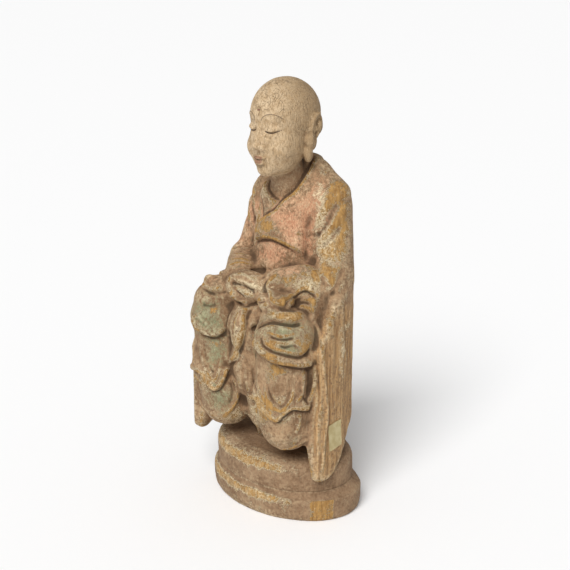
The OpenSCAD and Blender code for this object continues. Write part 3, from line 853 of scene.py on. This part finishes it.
rightFallTool, leftFallTool = upperTierTool(), upperTierTool()
robeBlocks = {
    "trunk": blockFrom("trunk", takeAway=(slab(*blockSet["recess"]), slab(*blockSet["cavity"]),
                                          tenonTool(0.05))),
    "left_arm": blockFrom("left_arm"),
    "right_arm": blockFrom("right_arm", flip=True),
    "joined_cuffs": blockFrom("joined_cuffs"),
    "left_leg": blockFrom("left_leg"),
    "right_leg": blockFrom("right_leg", flip=True),
    "left_robe_fall": blockFrom("left_robe_fall", takeAway=(leftFallTool,)),
    "right_robe_fall": blockFrom("right_robe_fall", flip=True, takeAway=(rightFallTool,)),
}
print("figure cut into blocks")


def makeCover():
    piece = figure.copy()
    piece.data = figure.data.copy()
    bpy.context.scene.collection.objects.link(piece)
    cutWith(piece, slab(*blockSet["cover"]), "INTERSECT")
    piece = withoutCrumbs(piece)
    takeMarks(piece)
    finished(piece, "back_cover_carved", body="cover")
    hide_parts("back_cover")
    return piece


backCover = makeCover()
bpy.data.objects.remove(figure, do_unlink=True)


def faceMarks(piece, tree):
    points, normals = readPoints(piece), readNormals(piece)

    def drawn(strokes):
        total = np.zeros(len(points))
        for spots, width in strokes:
            path, pathNormals = onSurface(tree, spots, (0, 0.48))
            found = strokeWeights(points, normals, path, pathNormals, width * 3 * mm, (0.12, 0.12))
            if found is not None:
                near, gap, side, strength = found
                total[near] = np.maximum(total[near], np.exp(-(gap / (width * mm)) ** 2) * strength)
        return total

    def twice(strokes):
        return drawn(strokes + [([(-a, z) for a, z in spots], width) for spots, width in strokes])

    # hollow: how deep each point lies in a crease; the paint darkens it as painted shade and dirt
    rub, hollow = rubAndHollow(piece, 3, 16, 0.16, 0.7)
    return {
        "rub": rub,
        "hollow": hollow,
        "brow": twice([(paintedFace["brow"], 0.8)]),
        "lash": np.maximum(twice([(paintedFace["lash"], 0.9)]), drawn([(paintedFace["mouth"], 0.7)])),
        "lip": drawn([(paintedFace["upperLip"], 2.2), (paintedFace["lowerLip"], 2.4)]),
        "dot": drawn([([(-3, 505), (0, 505), (3, 505)], 1.3)]),
    }


paintedFace = {
    "brow": [(4.8, 490), (6.5, 495), (11, 499.2), (18, 500.8), (25, 498.8), (31, 493)],
    "lash": [(6.6, 480.6), (11, 478.4), (16, 477.8), (21, 478.8), (28, 482.6)],
    "upperLip": [(-8, 446), (-3, 447.2), (0, 446.6), (3, 447.2), (8, 446)],
    "lowerLip": [(-6.4, 442.4), (0, 441.4), (6.4, 442.4)],
    "mouth": [(-9.6, 444.9), (-4.5, 444.3), (-1.6, 443.6), (0, 444.1), (1.6, 443.6), (4.5, 444.3),
              (9.6, 444.9)],
}


def finishHead(piece):
    cutWith(piece, loft([(396, 0, 9.3, 23, 23), (447, 0, -7.3, 20.6, 20.6)]), "DIFFERENCE")
    piece = withoutCrumbs(piece)
    giveMarks(piece, faceMarks(piece, surfaceTree(piece)))
    cutWith(piece, tenonTool(), "UNION")
    finished(piece, "head_carved", crease=60)
    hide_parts("head")
    return piece


head = finishHead(head)
print("head seated")


def tierPiece(which, node, pits=()):
    piece = loft(plinthSet[which])
    stepIn = plinthSet["stepIn"][which]
    for side in (-1, 1):
        spot, outward = plinthSet["back"]
        pare(piece, (side * (spot[0] - stepIn[0]), spot[1] - stepIn[1], spot[2]),
             (side * outward[0], outward[1], 0))
    reskin(piece, plinthSet["grain"], relax=2)
    roughen(piece, 34, 0.35, 21)
    roughen(piece, 9, 0.12, 22)
    points, normals = readPoints(piece), readNormals(piece)
    rub, hollow = rubAndHollow(piece, 3, 30, 0.2, 1.2)
    z = points[:, 2] / mm
    edge = np.exp(-((z - plinthSet["bareEdge"][which]) / 6.5) ** 2)
    across, up, toEye = planeOf(points.astype(float), "left")
    facing = smoothStep(-0.1, 0.25, (normals * toEye).sum(axis=1))
    leftward = (1 - smoothStep(-45, 25, across)) * facing
    ochre = edge * (0.12 + 0.9 * leftward)
    if which == "lower":
        patch = smoothStep(27, 29, across) * (1 - smoothStep(59, 61, across)) * (1 - smoothStep(28, 30, z))
        ochre = np.maximum(ochre, patch * facing)
    zero = np.zeros(len(points))
    # seat: a darker band along the joint where the upper tier sits, added to hollow and so painted as shade and dirt
    seat = np.exp(-((z - 40) / 5) ** 2) if which == "upper" else np.exp(-((z - 40) / 4) ** 2)
    marks = {"rub": np.clip(rub * (0.15 + 0.7 * leftward), 0, 1),
             "hollow": np.clip(hollow * 0.7 + 0.25 * seat, 0, 1), "ochre": ochre, "red": zero, "green": zero,
             "fleck": np.clip(edge * 0.8 * leftward + 0.12, 0, 1), "grainy": zero, "skin": zero}
    giveMarks(piece, marks)
    if which == "upper":
        cutWith(piece, slab((-120, -90, 40), (120, 90, 90)), "INTERSECT")
    for low, high in pits:
        cutWith(piece, slab(low, high), "DIFFERENCE")
    finished(piece, node + "_carved", crease=40)
    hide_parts(node)
    return piece


nailSet = {"across": 66, "along": 26, "half": 4.1, "deep": 3}      # where the four nail heads are sunk
nailPits = []
for x in (-nailSet["across"], nailSet["across"]):
    for y in (-nailSet["along"], nailSet["along"]):
        half = nailSet["half"]
        nailPits.append(((x - half, y - half, -2), (x + half, y + half, nailSet["deep"])))
lowerTier = tierPiece("lower", "plinth_lower_tier", nailPits)
upperTier = tierPiece("upper", "plinth_upper_tier")
print("plinth made")

labelSet = {
    "middle": (-18, 114),      # y and z
    "width": 25,
    "height": 36,
    "thickness": 0.35,
    "lean": 4,                 # degrees
    "curl": 0.5,
}


def makeLabel():
    tree = surfaceTree(robeBlocks["left_robe_fall"])
    bpy.ops.mesh.primitive_grid_add(x_subdivisions=26, y_subdivisions=36, size=1)
    piece = bpy.context.object
    spots = readPoints(piece).astype(float)
    u, v = spots[:, 0] * labelSet["width"], spots[:, 1] * labelSet["height"]
    lean = math.radians(labelSet["lean"])
    ragged = 0.25 * np.sin(v * 1.7) + 0.18 * np.sin(v * 4.1 + 1)
    u = u + ragged * (np.abs(spots[:, 0]) > 0.49)
    y = labelSet["middle"][0] + u * math.cos(lean) - v * math.sin(lean)
    z = labelSet["middle"][1] + u * math.sin(lean) + v * math.cos(lean)
    rim = np.maximum(np.abs(spots[:, 0]), np.abs(spots[:, 1])) * 2
    lift = 0.22 + labelSet["curl"] * smoothStep(0.8, 1.0, rim) * (0.5 + 0.5 * np.sin(u * 0.31 + v * 0.23))
    placed = []
    for n in range(len(spots)):
        hit = tree.ray_cast(Vector((0.16, y[n] * mm, z[n] * mm)), Vector((-1, 0, 0)))[0]
        if hit is None:
            hit = Vector((0.101, y[n] * mm, z[n] * mm))
        placed.append((hit.x, hit.y, hit.z))
    placed = np.array(placed)
    placed = spread(placed, readEdges(piece), 3)
    placed[:, 0] += lift * mm
    writePoints(piece, placed)
    finishWith(piece, "SOLIDIFY", thickness=labelSet["thickness"] * mm, offset=1)
    finished(piece, "paper_label_sheet", crease=40)
    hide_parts("paper_label")
    return piece


paperLabel = makeLabel()
print("label stuck on")


def tone(red, green, blue):                    # a colour as the eye names it, 0 to 255
    linear = [c / 255 / 12.92 if c < 10 else ((c / 255 + 0.055) / 1.055) ** 2.4 for c in (red, green, blue)]
    return (*linear, 1)


def addNode(tree, kind, inputs=None, **settings):
    made = tree.nodes.new(kind)
    for key, value in settings.items():
        setattr(made, key, value)
    for key, value in (inputs or {}).items():
        if isinstance(value, bpy.types.NodeSocket):
            tree.links.new(value, made.inputs[key])
        else:
            made.inputs[key].default_value = value
    return made


def between(tree, value, low, high):           # 0 below low, 1 above high
    step = addNode(tree, "ShaderNodeMapRange", {"Value": value, "From Min": low, "From Max": high},
                   interpolation_type="SMOOTHSTEP")
    return step.outputs[0]


def maths(tree, way, first, second=0.0):
    return addNode(tree, "ShaderNodeMath", {0: first, 1: second}, operation=way).outputs[0]


def times(tree, first, second):
    return maths(tree, "MULTIPLY", first, second)


def plus(tree, first, second):
    return maths(tree, "ADD", first, second)


def minus(tree, first, second):
    return maths(tree, "SUBTRACT", first, second)


def blend(tree, amount, first, second):
    return addNode(tree, "ShaderNodeMix", {0: amount, 6: first, 7: second}, data_type="RGBA").outputs[2]


def noise(tree, where, scale, detail=4.0, roughness=0.6, distortion=0.0):
    return addNode(tree, "ShaderNodeTexNoise", {"Vector": where, "Scale": scale, "Detail": detail,
                                                "Roughness": roughness, "Distortion": distortion}).outputs[0]


def newGroup(name, takes, gives):
    tree = bpy.data.node_groups.new(name, "ShaderNodeTree")
    for socket, kind in takes:
        tree.interface.new_socket(name=socket, in_out="INPUT", socket_type=kind)
    for socket, kind in gives:
        tree.interface.new_socket(name=socket, in_out="OUTPUT", socket_type=kind)
    return tree, tree.nodes.new("NodeGroupInput").outputs, tree.nodes.new("NodeGroupOutput").inputs


number, vector, colour = "NodeSocketFloat", "NodeSocketVector", "NodeSocketColor"


def makeFlaking():             # where the paint has gone, with a rim of pale ground round it
    tree, takes, gives = newGroup("flaking", [("Where", vector), ("Size", number), ("Rub", number),
                                              ("Hollow", number), ("Patch", number), ("Fleck", number)],
                                  [("Bare", number), ("Rim", number), ("Level", number)])
    big = noise(tree, takes["Where"], takes["Size"], 8, 0.7, 0.3)
    small = noise(tree, takes["Where"], times(tree, takes["Size"], 6.0), 5, 0.7, 0.5)
    level = plus(tree, times(tree, big, 0.62), times(tree, small, 0.5))
    for value, share in ((takes["Rub"], 0.17), (takes["Patch"], 0.23), (takes["Hollow"], -0.2)):
        level = plus(tree, level, times(tree, value, share))
    bare = between(tree, level, 0.72, 0.745)
    fleckLow = minus(tree, 0.7, times(tree, takes["Fleck"], 0.045))
    rim = minus(tree, between(tree, level, fleckLow, plus(tree, fleckLow, 0.015)), bare)
    curl = maths(tree, "ABSOLUTE", minus(tree, noise(tree, takes["Where"], 125.0, 5, 0.66, 1.4), 0.5))
    shown = plus(tree, takes["Fleck"], times(tree, minus(tree, big, 0.5), 2.4))
    worm = times(tree, between(tree, curl, 0.052, 0.035), between(tree, shown, 0.58, 0.8))
    inPatch = minus(tree, 1.0, times(tree, takes["Patch"], 0.6))
    worm = times(tree, worm, inPatch)
    tree.links.new(bare, gives["Bare"])
    tree.links.new(maths(tree, "MAXIMUM", maths(tree, "MAXIMUM", rim, worm), 0.0), gives["Rim"])
    tree.links.new(level, gives["Level"])
    return tree


def makeGrain():               # long streaks up and down the wood
    tree, takes, gives = newGroup("woodGrain", [("Where", vector), ("Size", number)],
                                  [("Streak", number), ("Line", number)])
    drawnOut = addNode(tree, "ShaderNodeVectorMath", {0: takes["Where"], 1: (1, 1, 0.07)}, operation="MULTIPLY")
    streak = noise(tree, drawnOut.outputs[0], takes["Size"], 5, 0.62, 0.4)
    fine = noise(tree, drawnOut.outputs[0], times(tree, takes["Size"], 3.5), 3, 0.6)
    tree.links.new(between(tree, streak, 0.34, 0.66), gives["Streak"])
    tree.links.new(between(tree, fine, 0.52, 0.68), gives["Line"])
    return tree


def makeGrimeAndShade():               # dirt in soft clouds, and painted shade with dirt darkening the hollows
    tree, takes, gives = newGroup("grimeAndShade", [("Where", vector), ("Hollow", number), ("Amount", number)],
                                  [("Mask", number), ("Cloud", number)])
    cloud = noise(tree, takes["Where"], 32.0, 5, 0.6)
    dirtAndShadeLevel = plus(tree, takes["Hollow"], times(tree, minus(tree, cloud, 0.5), 0.8))
    # the mask darkens creases and recesses as painted shade, and lays dirt in soft clouds
    mask = times(tree, between(tree, dirtAndShadeLevel, 0.25, 1.1), takes["Amount"])
    tree.links.new(mask, gives["Mask"])
    tree.links.new(cloud, gives["Cloud"])
    return tree


def makeCrackle():             # fine cracks, drawn out upright when Stretch is small
    tree, takes, gives = newGroup("crackle", [("Where", vector), ("Size", number), ("Stretch", number)],
                                  [("Crack", number)])
    stretch = addNode(tree, "ShaderNodeCombineXYZ", {0: 1.0, 1: 1.0, 2: takes["Stretch"]})
    wobble = addNode(tree, "ShaderNodeTexNoise", {"Vector": takes["Where"], "Scale": 120.0, "Detail": 3.0})
    bent = addNode(tree, "ShaderNodeVectorMath", {0: wobble.outputs["Color"], 1: (0.004, 0.004, 0.004),
                                                  2: takes["Where"]}, operation="MULTIPLY_ADD")
    laid = addNode(tree, "ShaderNodeVectorMath", {0: bent.outputs[0], 1: stretch.outputs[0]}, operation="MULTIPLY")
    cells = addNode(tree, "ShaderNodeTexVoronoi", {"Vector": laid.outputs[0], "Scale": takes["Size"]},
                    feature="DISTANCE_TO_EDGE")
    crack = minus(tree, 1.0, between(tree, cells.outputs[0], 0.0, 0.07))
    tree.links.new(crack, gives["Crack"])
    return tree


flaking, woodGrain, grimeAndShade, crackle = makeFlaking(), makeGrain(), makeGrimeAndShade(), makeCrackle()


def useGroup(tree, group, **values):
    made = addNode(tree, "ShaderNodeGroup", node_tree=group)
    for key, value in values.items():
        socket = made.inputs[key.capitalize()]
        if isinstance(value, bpy.types.NodeSocket):
            tree.links.new(value, socket)
        else:
            socket.default_value = value
    return made.outputs


def mark(tree, name):
    return addNode(tree, "ShaderNodeAttribute", attribute_name=name).outputs["Fac"]


def newMaterial(name):
    material = bpy.data.materials.new(name)
    material.use_nodes = True
    tree = material.node_tree
    shader = next(n for n in tree.nodes if n.type == "BSDF_PRINCIPLED")
    where = addNode(tree, "ShaderNodeTexCoord").outputs["Object"]
    return material, tree, shader, where


def bumpInto(tree, shader, height, distance, strength):
    bump = addNode(tree, "ShaderNodeBump", {"Height": height, "Distance": distance, "Strength": strength})
    tree.links.new(bump.outputs[0], shader.inputs["Normal"])


robeLook = {
    "brown": tone(176, 142, 107), "darkBrown": tone(124, 94, 66), "red": tone(186, 122, 90),
    "paleRed": tone(220, 172, 136), "green": tone(102, 118, 88), "paleGreen": tone(144, 150, 116),
    "ground": tone(244, 224, 184), "wood": tone(184, 142, 82), "darkWood": tone(142, 104, 56),
    # dirt: the colour of the dark specks, and of the painted shade and dirt in the hollows
    "sideWood": tone(198, 157, 108), "sideDark": tone(132, 96, 60), "dirtAndShade": tone(58, 40, 24),
    # skin: the neck's ground, darkened to paint in the shade under the chin
    "skin": tone(146, 114, 84), "flakeSize": 85.0, "grimeAndShade": 0.8, "grit": 1.0,
}
plinthLook = dict(robeLook, brown=tone(158, 128, 98), darkBrown=tone(122, 94, 68), flakeSize=70.0, grimeAndShade=0.7,
                  grit=0.4)


def paintedWood(name, look):
    material, tree, shader, where = newMaterial(name)
    rub, hollow = mark(tree, "rub"), mark(tree, "hollow")
    dirtAndShade = useGroup(tree, grimeAndShade, where=where, hollow=hollow, amount=look["grimeAndShade"])
    grain = useGroup(tree, woodGrain, where=where, size=330.0)
    flakes = useGroup(tree, flaking, where=where, size=look["flakeSize"], rub=rub, hollow=hollow,
                      patch=mark(tree, "ochre"), fleck=mark(tree, "fleck"))
    mottle = noise(tree, where, 260.0, 6, 0.72)
    dashes = addNode(tree, "ShaderNodeVectorMath", {0: where, 1: (1, 1, 0.42)}, operation="MULTIPLY").outputs[0]
    speck = noise(tree, dashes, 760.0, 4, 0.68, 0.9)
    cloud = plus(tree, times(tree, dirtAndShade["Cloud"], 0.5), times(tree, mottle, 0.5))
    paint = blend(tree, between(tree, cloud, 0.4, 0.6), look["darkBrown"], look["brown"])
    for colour, pale in (("red", "paleRed"), ("green", "paleGreen")):
        patchy = plus(tree, times(tree, minus(tree, mottle, 0.5), 3.0),
                       times(tree, minus(tree, dirtAndShade["Cloud"], 0.5), 1.8))
        amount = plus(tree, mark(tree, colour), patchy)
        shade = blend(tree, between(tree, speck, 0.38, 0.62), look[colour], look[pale])
        paint = blend(tree, times(tree, between(tree, amount, 0.25, 1.15), 0.82), paint, shade)
    # the neck as skin ground, in a darker tone that paints in the shade under the chin
    paint = blend(tree, times(tree, mark(tree, "skin"), 0.8), paint, look["skin"])
    side = blend(tree, grain["Streak"], look["sideDark"], look["sideWood"])
    side = blend(tree, times(tree, grain["Line"], 0.6), side, look["wood"])
    paint = blend(tree, times(tree, mark(tree, "grainy"), between(tree, mottle, 0.36, 0.5)), paint, side)
    flecks = times(tree, between(tree, speck, 0.57, 0.68), between(tree, mottle, 0.42, 0.62))
    paint = blend(tree, times(tree, flecks, 0.6 * look["grit"]), paint, look["ground"])
    streaked = times(tree, grain["Line"], between(tree, mottle, 0.62, 0.42))
    paint = blend(tree, times(tree, streaked, 0.3 * look["grit"]), paint, look["ground"])
    paint = blend(tree, times(tree, between(tree, speck, 0.44, 0.3), 0.38 * look["grit"]), paint, look["dirtAndShade"])
    wood = blend(tree, grain["Streak"], look["darkWood"], look["wood"])
    wood = blend(tree, times(tree, between(tree, speck, 0.55, 0.7), 0.4), wood, look["ground"])
    rubbed = times(tree, rub, between(tree, mottle, 0.4, 0.6))
    worn = blend(tree, times(tree, rubbed, 0.6), paint, look["ground"])
    layered = blend(tree, flakes["Bare"], worn, wood)
    layered = blend(tree, times(tree, flakes["Rim"], 0.88), layered, look["ground"])
    # painted shade and dirt: creases and recesses darkened, with soft clouds of dirt
    layered = blend(tree, dirtAndShade["Mask"], layered, look["dirtAndShade"])
    tree.links.new(layered, shader.inputs["Base Color"])
    rough = minus(tree, plus(tree, 0.76, times(tree, mottle, 0.18)),
                  times(tree, flakes["Bare"], 0.14))
    tree.links.new(rough, shader.inputs["Roughness"])
    shader.inputs["Specular IOR Level"].default_value = 0.3
    height = plus(tree, times(tree, flakes["Bare"], -0.5), times(tree, mottle, 1.0))
    height = plus(tree, height, times(tree, flakes["Rim"], 0.4))
    height = plus(tree, height, times(tree, grain["Line"], 0.2))
    height = plus(tree, height, times(tree, speck, 0.5))
    bumpInto(tree, shader, height, 0.0015, 0.9)
    return material


headLook = {
    "pale": tone(216, 190, 154), "deep": tone(178, 149, 112), "crack": tone(130, 101, 70),
    # the tone of the painted shade on the side of the head turned from the light
    "shadedSide": tone(142, 114, 78),
    # dirt: the tone of the painted shade and dirt in the hollows of the face and ears
    "dirtAndShade": tone(104, 76, 48), "ink": tone(62, 44, 32), "lip": tone(128, 78, 60), "dot": tone(104, 58, 44),
}


def paleHead():
    material, tree, shader, where = newMaterial("pale ground on the head")
    dirtAndShade = useGroup(tree, grimeAndShade, where=where, hollow=mark(tree, "hollow"), amount=0.45)
    cracks = useGroup(tree, crackle, where=where, size=210.0, stretch=0.3)
    grain = useGroup(tree, woodGrain, where=where, size=300.0)
    mottle = noise(tree, where, 130.0, 6, 0.7)
    speck = noise(tree, where, 900.0, 3, 0.65, 0.6)
    broken = between(tree, noise(tree, where, 70.0, 4, 0.7), 0.48, 0.6)
    skin = blend(tree, between(tree, mottle, 0.36, 0.64), headLook["deep"], headLook["pale"])
    # painted shade: the head darkens towards the side turned from the light, its edge broken by mottle
    awayFromLight = addNode(tree, "ShaderNodeVectorMath", {0: where, 1: (7.0, 9.0, 0.0)},
                       operation="DOT_PRODUCT").outputs["Value"]
    shadedSide = plus(tree, awayFromLight, times(tree, minus(tree, mottle, 0.5), 1.4))
    skin = blend(tree, times(tree, between(tree, shadedSide, -0.3, 0.4), 0.72), skin, headLook["shadedSide"])
    skin = blend(tree, times(tree, between(tree, speck, 0.46, 0.3), 0.45), skin, headLook["crack"])
    skin = blend(tree, times(tree, between(tree, speck, 0.56, 0.7), 0.4), skin, tone(240, 226, 196))
    skin = blend(tree, times(tree, grain["Line"], 0.5), skin, headLook["crack"])
    skin = blend(tree, times(tree, times(tree, cracks["Crack"], broken), 0.4), skin, headLook["crack"])
    # painted shade and dirt darkening the hollows of the face and ears
    skin = blend(tree, dirtAndShade["Mask"], skin, headLook["dirtAndShade"])
    for place, colour, most in (("brow", "ink", 0.62), ("lash", "ink", 0.9), ("lip", "lip", 0.7),
                                ("dot", "dot", 0.8)):
        patchy = between(tree, plus(tree, mark(tree, place), times(tree, mottle, 0.3)), 0.35, 0.85)
        skin = blend(tree, times(tree, patchy, most), skin, headLook[colour])
    tree.links.new(skin, shader.inputs["Base Color"])
    tree.links.new(plus(tree, 0.6, times(tree, mottle, 0.22)), shader.inputs["Roughness"])
    shader.inputs["Specular IOR Level"].default_value = 0.35
    height = minus(tree, times(tree, mottle, 0.6), times(tree, cracks["Crack"], broken))
    height = minus(tree, height, times(tree, grain["Line"], 0.5))
    height = plus(tree, height, times(tree, speck, 0.6))
    bumpInto(tree, shader, height, 0.0009, 0.9)
    return material


def bareWood():
    material, tree, shader, where = newMaterial("plain dowel wood")
    grain = useGroup(tree, woodGrain, where=where, size=420.0)
    body = blend(tree, grain["Streak"], tone(168, 122, 74), tone(204, 164, 112))
    body = blend(tree, times(tree, grain["Line"], 0.4), body, tone(132, 90, 52))
    tree.links.new(body, shader.inputs["Base Color"])
    tree.links.new(plus(tree, 0.58, times(tree, grain["Streak"], 0.15)), shader.inputs["Roughness"])
    bumpInto(tree, shader, grain["Line"], 0.0002, 0.6)
    return material


def forgedIron():
    material, tree, shader, where = newMaterial("rusted forged iron")
    scale = noise(tree, where, 380.0, 5, 0.7)
    rust = between(tree, scale, 0.42, 0.6)
    tree.links.new(blend(tree, rust, tone(70, 64, 60), tone(122, 70, 42)), shader.inputs["Base Color"])
    tree.links.new(minus(tree, 0.85, times(tree, rust, 0.75)), shader.inputs["Metallic"])
    tree.links.new(plus(tree, 0.5, times(tree, rust, 0.35)), shader.inputs["Roughness"])
    bumpInto(tree, shader, scale, 0.0004, 0.7)
    return material


def labelPaper():
    material, tree, shader, where = newMaterial("yellowed label paper")
    fibre = noise(tree, where, 900.0, 4, 0.7)
    stain = noise(tree, where, 90.0, 4, 0.6)
    paper = blend(tree, between(tree, stain, 0.35, 0.65), tone(178, 160, 112), tone(196, 182, 138))
    paper = blend(tree, times(tree, between(tree, fibre, 0.5, 0.7), 0.35), paper, tone(148, 128, 88))
    tree.links.new(paper, shader.inputs["Base Color"])
    tree.links.new(plus(tree, 0.7, times(tree, fibre, 0.2)), shader.inputs["Roughness"])
    bumpInto(tree, shader, fibre, 0.0002, 0.5)
    return material


def wear(piece, material):
    piece.data.materials.clear()
    piece.data.materials.append(material)


robePaint = paintedWood("worn robe paint", robeLook)
plinthPaint = paintedWood("worn plinth paint", plinthLook)
for block in list(robeBlocks.values()) + [backCover]:
    wear(block, robePaint)
wear(lowerTier, plinthPaint)
wear(upperTier, plinthPaint)
wear(head, paleHead())
wear(paperLabel, labelPaper())
dowelWood, nailIron = bareWood(), forgedIron()
for node in ("arm_dowels", "cuff_dowels", "lap_dowel", "leg_dowels", "fall_dowels", "trunk_dowels",
             "plinth_nails"):
    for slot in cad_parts[node].material_slots:
        slot.material = nailIron if node == "plinth_nails" else dowelWood
print("finishes given")

lightSet = {
    "sunAzimuth": 24,          # where the light comes from, turned as the viewer's azimuth is
    "sunHeight": 46,
    "sunSpread": 32,
    "sun": 2.8,
    "sky": 0.38,
}


def addLights():
    turn, height = math.radians(lightSet["sunAzimuth"]), math.radians(lightSet["sunHeight"])
    toSun = Vector((math.sin(turn) * math.cos(height), -math.cos(turn) * math.cos(height), math.sin(height)))
    bpy.ops.object.light_add(type="SUN", location=toSun * 3, rotation=toSun.to_track_quat("Z", "Y").to_euler())
    sun = bpy.context.object
    sun.data.energy = lightSet["sun"]
    sun.data.angle = math.radians(lightSet["sunSpread"])
    world = bpy.data.worlds.new("studio")
    bpy.context.scene.world = world
    world.use_nodes = True
    sky = next(n for n in world.node_tree.nodes if n.type == "BACKGROUND")
    sky.inputs["Color"].default_value = (1, 1, 1, 1)
    sky.inputs["Strength"].default_value = lightSet["sky"]
    bpy.context.scene.view_settings.view_transform = "Standard"


def addFloor():
    bpy.ops.mesh.primitive_plane_add(size=60, location=(0, 0, 0))
    floor = bpy.context.object
    floor.name = "floor"
    material, tree, shader, where = newMaterial("pale floor")
    shader.inputs["Base Color"].default_value = (0.97, 0.97, 0.97, 1)
    shader.inputs["Roughness"].default_value = 0.9
    wear(floor, material)


addLights()
addFloor()
print("lights and floor placed")
